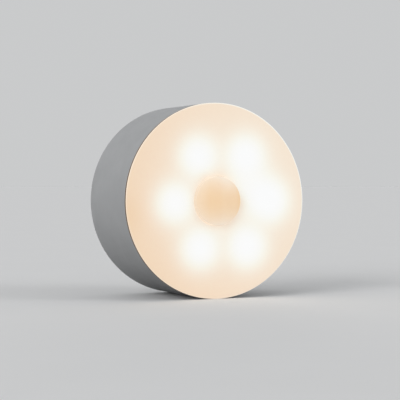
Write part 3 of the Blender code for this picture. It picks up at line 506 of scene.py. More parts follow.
def start_piece(name, bm, *finishes):
    """A piece where its shape was made, still open to cuts."""
    mesh = bpy.data.meshes.new(name)
    bm.to_mesh(mesh)
    bm.free()
    for finish in finishes:
        mesh.materials.append(finish)
    item = bpy.data.objects.new(name, mesh)
    bpy.context.scene.collection.objects.link(item)
    return item


def paint(item, choose):
    """Gives the piece's second finish to the faces whose middle choose picks, in millimetres."""
    for face in item.data.polygons:
        if choose(face.center / MM):
            face.material_index = 1


def combine(target, bm, operation, finish):
    """Fuses a shape into a piece or cuts it out, and gives what it leaves the piece's finish or another."""
    helper = start_piece(f"{target.name}_helper", bm, finish or target.data.materials[0])
    modifier = target.modifiers.new(operation, "BOOLEAN")
    modifier.operation = operation
    modifier.solver = "EXACT"
    modifier.material_mode = "TRANSFER"
    modifier.object = helper


def fuse(target, bm, finish=None):
    combine(target, bm, "UNION", finish)


def cut(target, bm, finish=None):
    combine(target, bm, "DIFFERENCE", finish)


def settle(item):
    """Applies a piece's modifiers and removes the shapes that they used."""
    if item.modifiers:
        helpers = [modifier.object for modifier in item.modifiers]
        graph = bpy.context.evaluated_depsgraph_get()
        solid = bpy.data.meshes.new_from_object(item.evaluated_get(graph))
        item.modifiers.clear()
        item.data = solid
        for helper in helpers:
            bpy.data.objects.remove(helper)


def finish_piece(item, node, place=Matrix.Identity(4), body="lamp"):
    """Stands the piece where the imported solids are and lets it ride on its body."""
    settle(item)
    bm = bmesh.new()
    bm.from_mesh(item.data)
    facing_out(moved(merged(bm), LAMP_FRAME @ place))
    bm.to_mesh(item.data)
    bm.free()
    item.data.shade_smooth()
    item.data.set_sharp_from_angle(angle=radians(SHARP_SHADING))
    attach(item, body)
    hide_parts(node)


# Finishes


class Field:
    """A number that varies over a surface. Arithmetic on it adds Math nodes."""

    def __init__(self, nodes, socket):
        self.nodes = nodes
        self.socket = socket

    def maths(self, operation, *others):
        return self.nodes.maths(operation, self, *others)

    def __add__(self, other):
        return self.maths("ADD", other)

    def __sub__(self, other):
        return self.maths("SUBTRACT", other)

    def __rsub__(self, other):
        return self.nodes.maths("SUBTRACT", other, self)

    def __mul__(self, other):
        return self.maths("MULTIPLY", other)

    def __truediv__(self, other):
        return self.maths("DIVIDE", other)

    def __pow__(self, other):
        return self.maths("POWER", other)

    def at_least(self, other):
        return self.maths("MAXIMUM", other)

    def at_most(self, other):
        return self.maths("MINIMUM", other)

    def below(self, other):
        """1 where this is less than the other, 0 elsewhere."""
        return self.maths("LESS_THAN", other)

    def fading(self):
        """e to the power of minus this."""
        return (self * -1.0).maths("EXPONENT")


class Nodes:
    """A node tree with short ways to add to it."""

    def __init__(self, tree):
        self.tree = tree

    def feed(self, socket, value):
        if isinstance(value, Field):
            value = value.socket
        if isinstance(value, bpy.types.NodeSocket):
            self.tree.links.new(value, socket)
        else:
            socket.default_value = value

    def node(self, kind, inputs=(), **settings):
        """Adds a node; inputs pairs the names or numbers of its sockets with values or other outputs."""
        made = self.tree.nodes.new(kind)
        for key, value in settings.items():
            setattr(made, key, value)
        for key, value in dict(inputs).items():
            self.feed(made.inputs[key], value)
        return made

    def field(self, output, kind, inputs, **settings):
        """Adds a node and gives one of its outputs."""
        return Field(self, self.node(kind, inputs, **settings).outputs[output])

    def maths(self, operation, *values):
        return self.field(0, "ShaderNodeMath", enumerate(values), operation=operation)


class Finish(Nodes):
    """A Principled material with short ways to add its patterns, whose sizes are in millimetres."""

    def __init__(self, name, colour, roughness, more=()):
        self.material = bpy.data.materials.new(name)
        self.material.use_nodes = True
        super().__init__(self.material.node_tree)
        self.shader = self.tree.nodes["Principled BSDF"]
        self.place = self.node("ShaderNodeTexCoord").outputs["Object"]
        self.set_shader({"Base Color": (*colour, 1.0), "Roughness": roughness, **dict(more)})

    def set_shader(self, inputs):
        """Feeds the shader's own sockets."""
        for key, value in inputs.items():
            self.feed(self.shader.inputs[key], value)

    def noise(self, size, detail, roughness=0.5):
        """Noise whose features are about this size."""
        inputs = {"Vector": self.place, "Scale": 1.0 / (size * MM), "Detail": detail, "Roughness": roughness}
        return self.field("Fac", "ShaderNodeTexNoise", inputs)

    def spread(self, noise, low=0.0, high=1.0):
        """Brings a noise, which stays near its middle, to a range."""
        inputs = {"Value": noise, "From Min": NOISE_LOW, "From Max": NOISE_HIGH}
        inputs.update({"To Min": low, "To Max": high})
        return self.field("Result", "ShaderNodeMapRange", inputs)

    def step(self, value, low, high):
        """A soft step from 0 at low to 1 at high."""
        inputs = {"Value": value, "From Min": low, "From Max": high}
        return self.field("Result", "ShaderNodeMapRange", inputs, interpolation_type="SMOOTHSTEP")

    def ramp(self, value, stops):
        made = self.node("ShaderNodeValToRGB", {"Fac": value})
        elements = made.color_ramp.elements
        while len(elements) < len(stops):
            elements.new(1.0)
        for element, (position, colour) in zip(elements, stops):
            element.position = position
            element.color = (*colour, 1.0)
        return made.outputs["Color"]

    def mottle(self, colour, noise, low, high):
        """Varies the colour from a darker shade of it to a lighter one."""
        shades = ((0.0, shaded(colour, low)), (1.0, shaded(colour, high)))
        self.set_shader({"Base Color": self.ramp(self.spread(noise), shades)})

    def gloss(self, noise, low, high):
        """Varies the roughness."""
        self.set_shader({"Roughness": self.spread(noise, low, high)})

    def bump(self, height, depth, strength=1.0):
        inputs = {"Strength": strength, "Distance": depth * MM, "Height": height}
        self.set_shader({"Normal": self.node("ShaderNodeBump", inputs).outputs["Normal"]})

    def parts(self, vector):
        """A vector's x, y and z."""
        return [Field(self, part) for part in self.node("ShaderNodeSeparateXYZ", {0: vector}).outputs]

    def distance(self, vector, point=(0.0, 0.0, 0.0)):
        return self.field("Value", "ShaderNodeVectorMath", {0: vector, 1: point}, operation="DISTANCE")


def shaded(colour, share):
    return tuple(channel * share for channel in colour)


def moulded_plastic(name, colour, roughness, specular=0.15):
    """Moulded plastic: a fine eroded grain, faint flow clouds in the colour, and uneven gloss."""
    finish = Finish(name, colour, roughness, {"Specular IOR Level": specular})
    finish.mottle(colour, finish.noise(9.0, 3.0, 0.55), 0.965, 1.025)
    finish.gloss(finish.noise(2.5, 4.0, 0.6), roughness - 0.06, roughness + 0.06)
    finish.bump(finish.noise(0.22, 3.0, 0.6), 0.006)
    return finish.material


def metal(name, colour, roughness):
    """Plated or stamped metal: a fine grain and a patchy shine."""
    finish = Finish(name, colour, roughness, {"Metallic": 1.0})
    finish.mottle(colour, finish.noise(3.0, 3.0, 0.6), 0.88, 1.04)
    grain = finish.noise(0.12, 3.0, 0.7)
    finish.gloss(grain, roughness - 0.06, roughness + 0.1)
    finish.bump(grain, 0.002, 0.6)
    return finish.material


def laminate(name, colour):
    """Solder mask over glass cloth: a faint weave and a soft shine."""
    finish = Finish(name, colour, 0.35, {"Coat Weight": 0.3})
    cloth = {"Vector": finish.place, "Scale": 1.0 / (0.9 * MM)}
    weave = finish.field("Fac", "ShaderNodeTexChecker", cloth)
    shade = weave * 0.3 + finish.noise(4.0, 3.0)
    shades = ((0.2, shaded(colour, 0.93)), (1.0, shaded(colour, 1.03)))
    finish.set_shader({"Base Color": finish.ramp(shade, shades)})
    finish.bump(finish.noise(0.5, 2.0), 0.004)
    return finish.material


def face_position(finish):
    """Where a point lies on the lamp's face, in millimetres: right, up, and both as a flat vector."""
    scale = {0: finish.place, 1: (1.0 / MM, 0.0, 1.0 / MM)}
    flat = finish.node("ShaderNodeVectorMath", scale, operation="MULTIPLY").outputs[0]
    right, _, up = finish.parts(flat)
    return right, up, flat


def glow(finish, flat, centre, size, edge, light):
    """A round pool of light: light * exp(-(distance / size) ** edge)."""
    away = finish.distance(flat, (centre[0], 0.0, centre[1]))
    return ((away / size) ** edge).fading() * light


def light_level(finish, right, up, flat, reach):
    """How bright the cover is where its light leaves it, from the darkest level to the brightest."""
    light = right * (LIGHT_RIGHT / BODY_RADIUS) + EVEN_LIGHT + up * (LIGHT_UP / BODY_RADIUS)
    for index in range(SPOT_COUNT):
        x, y = on_ring(SPOT_RING, SPOT_TURN + 360.0 * index / SPOT_COUNT)
        spot = (SPOT_CENTRE[0] + x, SPOT_CENTRE[1] + y)
        spot_light = SPOT_LIGHT * (1.0 + SPOT_LEAN * x / SPOT_RING)
        light += glow(finish, flat, spot, SPOT_SIZE, SPOT_EDGE, spot_light)
    light += glow(finish, flat, SPOT_CENTRE, HALO_SIZE, HALO_EDGE, HALO_LIGHT)
    for centre, size, more in UNEVEN_PLACES:
        light += glow(finish, flat, centre, size, SOFT_EDGE, more)
    behind_collar = (reach - LENS_RADIUS).at_least(0.0) / COLLAR_SHADE_SIZE
    light -= (behind_collar * behind_collar).fading() * COLLAR_SHADE
    return light.fading() * (DARKEST_LEVEL - BRIGHTEST_LEVEL) + BRIGHTEST_LEVEL


def shine(finish, level, colours, room_colour, strength):
    """Lets the finish give off the colour of that level, less what the room's own light adds to it."""
    stops = [
        (position, tuple(lit - ROOM_LIGHT * room for lit, room in zip(colour, room_colour)))
        for position, colour in colours
    ]
    finish.set_shader({"Emission Color": finish.ramp(level, stops), "Emission Strength": strength})


def frosted_cover():
    """The lit diffuser: pools of light over a warm ground, a painted highlight on its rim, fine frosting.

    Behind the cover's outer edge hardly any of that light leaves the plastic.
    """
    finish = Finish("lit_frosted_cover", COVER_COLOUR, 0.5)
    right, up, flat = face_position(finish)
    reach = finish.distance(flat)
    # Painted highlight on the rounded rim, stronger towards the upper right.
    rim = finish.step(reach, BODY_RADIUS - RIM_LIGHT_WIDTH, BODY_RADIUS)
    upper_right = (up * RIM_LIGHT_UP + right).at_least(0.0) / BODY_RADIUS
    rim_light = upper_right * RIM_LIGHT_RIGHT + RIM_LIGHT
    level = light_level(finish, right, up, flat, reach) + rim * rim_light
    front = finish.parts(finish.place)[1].below(-EDGE_HEIGHT * MM)
    lit = front.at_least(reach.below(LENS_GAP_REACH) * LENS_GAP_LIGHT)
    shine(finish, level, LIT_COLOURS, COVER_COLOUR, lit * (1.0 - SKIRT_LIGHT) + SKIRT_LIGHT)
    finish.mottle(COVER_COLOUR, finish.noise(1.6, 4.0, 0.6), 0.97, 1.03)
    finish.gloss(finish.noise(0.8, 3.0), 0.42, 0.56)
    finish.bump(finish.noise(0.18, 2.0, 0.6), 0.004)
    return finish.material


def milky_lens():
    """The sensor lens: shaded by the collar behind it, and brighter towards its top and bottom.

    Its rounded edge gives off a little less light, a painted shade, and paler light on its left, and the gap
    round it has painted shade.
    """
    finish = Finish("lit_milky_lens", LENS_COLOUR, 0.35, {"Specular IOR Level": 0.3})
    right, up, flat = face_position(finish)
    reach = finish.distance(flat)
    left_side = (up * LENS_SIDE_UP + right).at_most(0.0) / -LENS_RADIUS
    left_edge = left_side * finish.step(reach, *LENS_EDGE_BAND)
    level = (up.maths("ABSOLUTE") / LENS_RADIUS) ** 2.0 * LENS_ENDS_LIGHT
    level += (LENS_LEFT - right).at_least(0.0) * LENS_LEFT_LIGHT
    level += (right.at_least(0.0) * LENS_RIGHT_LIGHT).at_most(LENS_RIGHT_MOST)
    level += (right - LENS_FAR_RIGHT).at_least(0.0) * LENS_FAR_RIGHT_LIGHT
    level += glow(finish, flat, *LENS_CORNER)
    # Painted paler light on the left of the rounded edge
    level += left_edge * LENS_EDGE_PALE_LIGHT
    level += LENS_LEVEL
    # Painted shade: less light from the rounded edge, most on its left, and a set amount in the gap round
    # the lens
    rounding = finish.step(reach, *LENS_ROUND_BAND)
    shade = left_edge * LENS_EDGE_SHADE + rounding * LENS_SHOULDER_SHADE
    proud = finish.parts(finish.place)[1].below(-BODY_DEPTH * MM)
    shade = proud * (shade - LENS_GAP_SHADE) + LENS_GAP_SHADE
    shine(finish, level, LENS_COLOURS, LENS_COLOUR, 1.0 - shade)
    finish.mottle(LENS_COLOUR, finish.noise(2.2, 3.0), 0.97, 1.03)
    finish.gloss(finish.noise(1.5, 3.0), 0.3, 0.42)
    finish.bump(finish.noise(0.4, 2.0), 0.003)
    return finish.material


def cell_sleeve(name, row, side):
    """A cell's shrink sleeve, with a pale band and the signs of its two ends."""
    finish = Finish(name, SLEEVE_COLOUR, 0.3, {"Coat Weight": 0.25})
    centre = LAMP_FRAME @ Vector((side * (CELL_END - 0.5 * CELL_LENGTH), row, CELL_HEIGHT)) * MM
    centred = {"Vector": finish.place, "Location": tuple(-centre)}
    along, _, across = finish.parts(finish.node("ShaderNodeMapping", centred).outputs["Vector"])
    along *= side / MM
    across = (across * (1.0 / MM)).maths("ABSOLUTE")
    bars = [
        (along - middle).maths("ABSOLUTE").below(half_length) * across.below(half_width)
        for middle, half_length, half_width in CELL_PRINT
    ]
    ink = bars[0]
    for bar in bars[1:]:
        ink = ink.at_least(bar)
    finish.set_shader({"Base Color": finish.ramp(ink, ((0.0, SLEEVE_COLOUR), (1.0, PRINT_COLOUR)))})
    finish.gloss(finish.noise(2.0, 3.0), 0.24, 0.36)
    finish.bump(finish.noise(1.2, 2.0, 0.4), 0.01)
    return finish.material


# The housing


def door_outline(grow=0.0):
    """The battery door's outline, with the tongue that carries its clip on the +x side."""
    half_x = DOOR_HALF_LENGTH + grow
    half_y = DOOR_HALF_WIDTH + grow
    tongue_x = POCKET_END + grow - SEAT_GAP if grow else TONGUE_END
    tongue_y = TONGUE_HALF_WIDTH + grow
    body = round_rectangle((0.0, 0.0), half_x, half_y, DOOR_CORNER + grow)
    tongue = [(half_x, -tongue_y), (tongue_x, -tongue_y), (tongue_x, tongue_y), (half_x, tongue_y)]
    return body + tongue


def flared(outline_at, floor):
    """A cutter for a recess in the back, with a chamfered mouth; outline_at gives its outline, grown."""
    mouth, straight = outline_at(RECESS_FLARE), outline_at(0.0)
    return loft(((mouth, -OVERSHOOT), (mouth, 0.0), (straight, RECESS_FLARE), (straight, floor)))


def lettering(words, centre):
    """Letters to sink into the back face, as they read from behind the lamp."""
    curve = bpy.data.curves.new("legend", "FONT")
    curve.body = words
    curve.size = LETTER_HEIGHT * MM
    curve.align_x = "CENTER"
    curve.align_y = "CENTER"
    curve.extrude = LETTER_DEPTH * MM
    curve.resolution_u = 3
    place = shift(*centre, 0.0) @ Matrix.Rotation(pi, 4, "Y")
    return facing_out(moved(from_curve(curve), place))


def housing_profile():
    groove_low, groove_high = around(SNAP_HEIGHT, 1.0)
    groove_radius = INNER_RADIUS + SNAP_BEAD
    back_corner = (BODY_RADIUS - BACK_EDGE_RADIUS, BACK_EDGE_RADIUS)
    inner_corner = (INNER_RADIUS - BACK_EDGE_RADIUS, WALL + BACK_EDGE_RADIUS)
    outer_rim = (BODY_RADIUS - RIM_ROUND, RIM_HEIGHT - RIM_ROUND)
    inner_rim = (INNER_RADIUS + RIM_ROUND, RIM_HEIGHT - RIM_ROUND)
    outline = [(0.0, 0.0), (back_corner[0] - SUPPORT, 0.0)]
    outline += arc(back_corner, BACK_EDGE_RADIUS, -90.0, 0.0, 8)
    outline += [(BODY_RADIUS, BACK_EDGE_RADIUS + SUPPORT), (BODY_RADIUS, outer_rim[1] - SUPPORT)]
    outline += arc(outer_rim, RIM_ROUND, 0.0, 90.0, 4)
    outline += arc(inner_rim, RIM_ROUND, 90.0, 180.0, 4)
    outline += [
        (INNER_RADIUS, groove_high),
        (groove_radius, groove_high - 0.5),
        (groove_radius, groove_low + 0.5),
        (INNER_RADIUS, groove_low),
    ]
    outline += arc(inner_corner, BACK_EDGE_RADIUS, 0.0, -90.0, 6)
    outline.append((0.0, WALL))
    return outline


def add_housing_inside(housing):
    """Bay and clip pocket walls, screw bosses, magnet rings, ribs, switch window and posts."""
    root = WALL - OVERSHOOT
    bay_x = DOOR_HALF_LENGTH + SEAT_GAP + BAY_WALL
    bay_y = DOOR_HALF_WIDTH + SEAT_GAP + BAY_WALL
    clip_x = (bay_x - OVERSHOOT, POCKET_END + POCKET_END_WALL)
    clip_y = TONGUE_HALF_WIDTH + SEAT_GAP + POCKET_SIDE_WALL
    fuse(housing, box((-bay_x, bay_x), (-bay_y, bay_y), (root, BAY_FLOOR + BAY_WALL)))
    fuse(housing, box(clip_x, (-clip_y, clip_y), (root, POCKET_FLOOR + BAY_WALL)))
    for angle in BOSS_ANGLES:
        fuse(housing, disc(on_ring(BOSS_RING, angle), BOSS_RADIUS, root, UNDER_BOARD, 24))
    for centre in MAGNET_PLACES:
        fuse(housing, disc(centre, MAGNET_RING_RADIUS, root, WALL + MAGNET_RING_HEIGHT))
    for index in range(RIB_COUNT):
        rib_x = (INNER_RADIUS - RIB_DEPTH, INNER_RADIUS + 0.5 * WALL)
        rib = box(rib_x, around(0.0, 0.5 * RIB_THICKNESS), (root, RIB_TOP))
        fuse(housing, moved(rib, Matrix.Rotation(2.0 * pi * index / RIB_COUNT, 4, "Z")))
    window_x = WINDOW_HALF_LENGTH + WINDOW_SURROUND
    window_y = WINDOW_HALF_WIDTH + WINDOW_SURROUND
    window = round_rectangle((0.0, SWITCH_PLACE), window_x, window_y, 1.5)
    fuse(housing, prism(window, root, WINDOW_BOSS))
    post = SWITCH_HALF_LENGTH + SEAT_GAP
    for side in (-1, 1):
        span = on_side(side, post, post + POST_THICKNESS)
        fuse(housing, box(span, around(SWITCH_PLACE, 2.0), (root, SWITCH_HIGH)))


def clip_pocket():
    """The hollow that the door's clip goes into, with a recess for its catch."""
    left = DOOR_HALF_LENGTH + SEAT_GAP
    recess = POCKET_END + 0.7
    side_view = [
        (left, -OVERSHOOT),
        (POCKET_END, -OVERSHOOT),
        (POCKET_END, WALL + 0.2),
        (recess, WALL + 0.4),
        (recess, WALL + 1.4),
        (POCKET_END, WALL + 2.1),
        (POCKET_END, POCKET_FLOOR),
        (left, POCKET_FLOOR),
    ]
    width = TONGUE_HALF_WIDTH + SEAT_GAP
    return prism(side_view, -width, width, "y")


def finger_scoop():
    """A lying round bar with soft ends that cuts the hollow for a fingertip beside the clip."""
    bar = disc((0.0, 0.0), SCOOP_RADIUS, -SCOOP_HALF_WIDTH, SCOOP_HALF_WIDTH, 96)
    soften(bar, 1.2, 5, lambda edge: abs(edge.verts[0].co.z - edge.verts[1].co.z) < SCOOP_HALF_WIDTH * MM)
    lay = shift(SCOOP_PLACE, 0.0, SCOOP_DEPTH - SCOOP_RADIUS)
    return moved(bar, lay @ Matrix.Rotation(radians(90.0), 4, "X"))


def cut_housing_hollows(housing):
    """Bay, clip pocket, finger scoop, tab slots, terminal slots, screw pilots and magnet hollows."""
    bay_x, bay_y = around(0.0, BAY_HALF_LENGTH), around(0.0, BAY_HALF_WIDTH)
    cut(housing, box(bay_x, bay_y, (-OVERSHOOT, BAY_FLOOR)))
    cut(housing, flared(lambda width: door_outline(SEAT_GAP + width), DOOR_LEDGE))
    cut(housing, clip_pocket())
    cut(housing, finger_scoop())
    for middle in TAB_PLACES:
        slot_x = (-DOOR_HALF_LENGTH - 2.6, -BAY_HALF_LENGTH + 0.2)
        slot_y = (middle - TAB_HALF_WIDTH - 0.5, middle + TAB_HALF_WIDTH + 0.5)
        cut(housing, box(slot_x, slot_y, (DOOR_LEDGE - 0.05, WALL + 2.4)))
    clearance = 0.4
    for side, row in ((-1, CELL_PITCH), (1, -CELL_PITCH)):
        span = on_side(side, CONTACT_OUTER + clearance, CONTACT_FACE - clearance)
        width = around(row, CONTACT_TAB_HALF_WIDTH + 0.3)
        cut(housing, box(span, width, (BAY_FLOOR - 0.5, BAY_FLOOR + BAY_WALL + OVERSHOOT)))
    for angle in BOSS_ANGLES:
        place = on_ring(BOSS_RING, angle)
        cut(housing, disc(place, PILOT_RADIUS, BOARD_LOW - PILOT_DEPTH, BOARD_HIGH, 20))
    for centre in MAGNET_PLACES:
        cut(housing, disc(centre, MAGNET_RADIUS + SEAT_GAP, WALL, WALL + 4.0))


def switch_slot(low, high):
    """A cutter for the slot that the knob's stem slides in."""
    slot_y = around(SWITCH_PLACE, SLOT_HALF_WIDTH)
    return box(around(0.0, SLOT_HALF_LENGTH), slot_y, (low, high))


def window_outline(grow):
    half_x, half_y = WINDOW_HALF_LENGTH + grow, WINDOW_HALF_WIDTH + grow
    return round_rectangle((0.0, SWITCH_PLACE), half_x, half_y, 0.8 + grow)


def add_cradle_ridges(housing):
    """The two ridges on the bay's floor that part the cells."""
    foot, crest, height, root = 2.0, 0.4, 2.5, 0.5
    for row in around(0.0, 0.5 * CELL_PITCH):
        ridge = [
            (row - foot, BAY_FLOOR + root),
            (row - foot, BAY_FLOOR),
            (row - crest, BAY_FLOOR - height),
            (row + crest, BAY_FLOOR - height),
            (row + foot, BAY_FLOOR),
            (row + foot, BAY_FLOOR + root),
        ]
        fuse(housing, prism(ridge, -16.0, 16.0, "x"))


def make_housing(plastic, groove_shade, ink):
    housing = start_piece("housing_cup", turned(housing_profile()), plastic, groove_shade)
    # The rim's top, at the bottom of the groove under the cover's edge, gets the second finish: painted
    # shade for the groove.
    paint(housing, lambda middle: middle.z > RIM_HEIGHT - 0.1)
    add_housing_inside(housing)
    cut_housing_hollows(housing)
    cut(housing, flared(window_outline, WINDOW_FLOOR))
    cut(housing, switch_slot(WINDOW_FLOOR - 0.5, WINDOW_BOSS + OVERSHOOT))
    add_cradle_ridges(housing)
    for words, x in SWITCH_WORDS:
        cut(housing, lettering(words, (x, SWITCH_PLACE + WORDS_ABOVE_SWITCH)), ink)
    finish_piece(housing, "housing")


# The front


def make_cover(frosted, groove_shade):
    """The frosted cover: flat face, soft edge, skirt with its snap bead, rim round the lens."""
    edge_low = BODY_DEPTH - COVER_EDGE
    skirt_inner = SKIRT_RADIUS - SKIRT_WALL
    hole = LENS_RADIUS + SEAT_GAP
    rim_inner = LENS_FLANGE_RADIUS + SEAT_GAP
    rim_low = LENS_FLANGE_TOP - LENS_FLANGE
    bead = INNER_RADIUS + 0.3
    lip = (hole + COVER_LIP, BODY_DEPTH - COVER_LIP)
    fillet = (BODY_RADIUS - COVER_FILLET, BODY_DEPTH - COVER_FILLET)
    outline = [(hole, COVER_BACK)]
    outline += arc(lip, COVER_LIP, 180.0, 90.0, 4)
    outline += [(lip[0] + SUPPORT, BODY_DEPTH), (fillet[0] - SUPPORT, BODY_DEPTH)]
    outline += arc(fillet, COVER_FILLET, 90.0, 0.0, 8)
    outline += [
        (BODY_RADIUS, edge_low),
        (SKIRT_RADIUS, edge_low - COVER_SLOPE),
        (SKIRT_RADIUS, SNAP_HEIGHT + 0.6),
        (bead, SNAP_HEIGHT + 0.2),
        (bead, SNAP_HEIGHT - 0.2),
        (SKIRT_RADIUS, SNAP_HEIGHT - 0.8),
        (SKIRT_RADIUS - 0.3, SKIRT_END),
        (skirt_inner, SKIRT_END),
        (skirt_inner, COVER_BACK),
        (rim_inner + 1.1, COVER_BACK),
        (rim_inner + 1.0, rim_low),
        (rim_inner, rim_low),
        (rim_inner, COVER_BACK),
    ]
    cover = start_piece("frosted_front", turned(outline), frosted, groove_shade)
    # The cover's sloped underside and skirt, in the groove behind its edge, get the second finish: painted
    # shade for the groove.
    paint(cover, lambda middle: middle.z < edge_low and middle.xy.length > SKIRT_RADIUS - 0.1)
    finish_piece(cover, "front_cover")


def lens_height(radius):
    """Height of the lens's shallow dome, which rises above its upright edge."""
    sphere = (LENS_RADIUS**2 + LENS_RISE**2) / (2.0 * LENS_RISE)
    return LENS_EDGE + LENS_RISE - sphere + (sphere**2 - radius**2) ** 0.5


def make_lens(milky):
    """The sensor lens: a shallow dome outside, stepped Fresnel rings inside, a flange behind."""
    flange_low = LENS_FLANGE_TOP - LENS_FLANGE
    inner_radius = LENS_RADIUS - LENS_WALL
    dome_end = LENS_RADIUS - LENS_SHOULDER
    outline = [(0.0, LENS_EDGE + LENS_RISE)]
    for index in range(1, DOME_STEPS + 1):
        radius = dome_end * index / DOME_STEPS
        outline.append((radius, lens_height(radius)))
    shoulder = (dome_end, lens_height(dome_end) - LENS_SHOULDER)
    outline += arc(shoulder, LENS_SHOULDER, 80.0, 0.0, 5)
    outline += [
        (LENS_RADIUS, LENS_FLANGE_TOP),
        (LENS_FLANGE_RADIUS, LENS_FLANGE_TOP),
        (LENS_FLANGE_RADIUS, flange_low),
        (inner_radius, flange_low),
        (inner_radius, LENS_EDGE - LENS_WALL),
    ]
    ring_width = inner_radius / (FRESNEL_RINGS + 1)
    for index in range(FRESNEL_RINGS, 0, -1):
        radius = ring_width * index
        height = lens_height(radius) - LENS_WALL
        outline += [(radius, height - 0.25), (radius - 0.05, height)]
    outline.append((0.0, LENS_EDGE + LENS_RISE - LENS_WALL - 0.2))
    lens = start_piece("milky_dome", turned(outline, 128), milky)
    finish_piece(lens, "sensor_lens")


# The back: door, knob, cells, contacts, springs


def door_hook():
    """Side view of a tab that hooks under the bay's edge."""
    root = DOOR_IN - 0.5
    left = -DOOR_HALF_LENGTH - 1.5
    foot = -DOOR_HALF_LENGTH + 0.1
    right = -BAY_HALF_LENGTH + 0.1
    low = WALL + 0.4
    high = low + 1.0
    hook = [(foot, root), (foot, low), (left, low), (left, low + 0.7), (left + 0.3, high)]
    return hook + [(right, high), (right, root)]


def door_clip():
    """Side view of the bent spring clip, with its catch pressed in."""
    root = DOOR_IN - 0.5
    bend = (CLIP_LEFT + CLIP_BEND, CLIP_CENTRE)
    right = CLIP_LEFT + 2.0 * CLIP_BEND
    outline = [(CLIP_LEFT, root)]
    outline += arc(bend, CLIP_BEND, 180.0, 0.0, 20)
    outline += [
        (right, WALL + 1.8),
        (right + CATCH, WALL + 1.2),
        (right + CATCH, WALL + 0.7),
        (right, WALL + 0.4),
        (right, DOOR_OUT + 0.3),
        (right - 0.3, DOOR_OUT),
        (right - CLIP_WALL, DOOR_OUT),
    ]
    outline += arc(bend, CLIP_BEND - CLIP_WALL, 0.0, 180.0, 20)
    outline.append((CLIP_LEFT + CLIP_WALL, root))
    return outline


def make_door(plastic):
    """The battery door: plate with a rounded outer edge, grip grooves, an arrow, tabs, ribs, spring clip."""
    plate = soften(prism(door_outline(), DOOR_OUT, DOOR_IN), 0.3, 3, lying_at(DOOR_OUT))
    door = start_piece("bay_door", plate, plastic)
    for middle in TAB_PLACES:
        fuse(door, prism(door_hook(), *around(middle, TAB_HALF_WIDTH), "y"))
    fuse(door, prism(door_clip(), *around(0.0, CLIP_HALF_WIDTH), "y"))
    for x in DOOR_RIBS:
        fuse(door, box(around(x, 0.6), (-15.0, 15.0), (DOOR_IN - 0.4, DOOR_IN + 0.5)))
    grooves = [round_rectangle((x, 0.0), 0.45, 5.0, 0.4) for x in GRIP_GROOVES]
    for outline in (*grooves, ARROW):
        cut(door, prism(outline, -OVERSHOOT, DOOR_OUT + DOOR_SUNK))
    finish_piece(door, "battery_door", body="battery_door")


def make_knob(plastic):
    """The switch's thumb piece: a round-edged cap with three grips, on a stem."""
    cap_top = WINDOW_FLOOR - SEAT_GAP
    outline = round_rectangle((0.0, SWITCH_PLACE), KNOB_HALF_LENGTH, KNOB_HALF_WIDTH, 0.6)
    cap = soften(prism(outline, KNOB_LOW, cap_top), 0.2, 3, lying_at(KNOB_LOW))
    knob = start_piece("thumb_slider", cap, plastic)
    stem_x, stem_y = around(0.0, STEM_HALF_LENGTH), around(SWITCH_PLACE, STEM_HALF_WIDTH)
    fuse(knob, box(stem_x, stem_y, (cap_top - 0.3, SWITCH_LOW + 1.6)))
    for x in KNOB_GRIPS:
        grip = prism(round_rectangle((x, SWITCH_PLACE), 0.35, 2.0, 0.3), GRIP_LOW, 1.0)
        fuse(knob, soften(grip, 0.15, 2, lying_at(GRIP_LOW)))
    finish_piece(knob, "switch_knob", body="switch_knob")


def along_row(row, start, side):
    """Lays a shape that was made along z on a cell's row, pointing to that side."""
    return shift(start, row, CELL_HEIGHT) @ Matrix.Rotation(side * radians(90.0), 4, "Y")


def make_cells(steel):
    """Three AAA cells: a steel can with its nipple, and a sleeve that rolls over both ends."""
    body = CELL_LENGTH - CELL_NIPPLE
    nipple_foot = CELL_NIPPLE_RADIUS + 0.3
    outline = [(0.0, 0.0), (CELL_RADIUS - 1.5, 0.0)]
    outline += arc((CELL_RADIUS - 1.0, 0.5), 0.5, -90.0, -20.0, 4)
    outline += arc((CELL_RADIUS - 0.4, 0.75), 0.4, -90.0, 0.0, 4)
    outline += [(CELL_RADIUS, 1.5), (CELL_RADIUS, body - 1.2)]
    outline += arc((CELL_RADIUS - 0.4, body - 0.4), 0.4, 0.0, 90.0, 4)
    outline += [(CELL_RADIUS - 0.9, body - 0.02), (CELL_RADIUS - 1.2, body - 0.35)]
    outline.append((nipple_foot, body - 0.25))
    outline += arc((nipple_foot, body + 0.05), 0.3, -90.0, -180.0, 3)
    outline += arc((CELL_NIPPLE_RADIUS - 0.3, CELL_LENGTH - 0.3), 0.3, 0.0, 90.0, 4)
    outline.append((0.0, CELL_LENGTH))
    sleeve_inner, sleeve_low, sleeve_high = CELL_RADIUS - 0.95, 0.4, body + 0.01
    for index, (row, side) in enumerate(CELL_ROWS):
        name = f"cell_{index + 1}"
        sleeve = cell_sleeve(f"{name}_sleeve", row, side)
        cell = start_piece(name, facing_out(turned(outline, 64)), steel, sleeve)
        paint(cell, lambda middle: middle.xy.length > sleeve_inner and sleeve_low < middle.z < sleeve_high)
        place = along_row(row, side * (CELL_END - CELL_LENGTH), side)
        finish_piece(cell, f"battery_cell_{index + 1}", place)


def contact_button():
    """The pressed button of a plate at a cell's positive end."""
    radius, foot, height = 2.2, 0.2, 0.7
    profile = [(0.0, 0.0), (radius, 0.0), (radius, foot)]
    profile += arc((1.2, foot), 0.5, 60.0, 90.0, 4)
    profile.append((0.0, height))
    return turned(profile, 40)


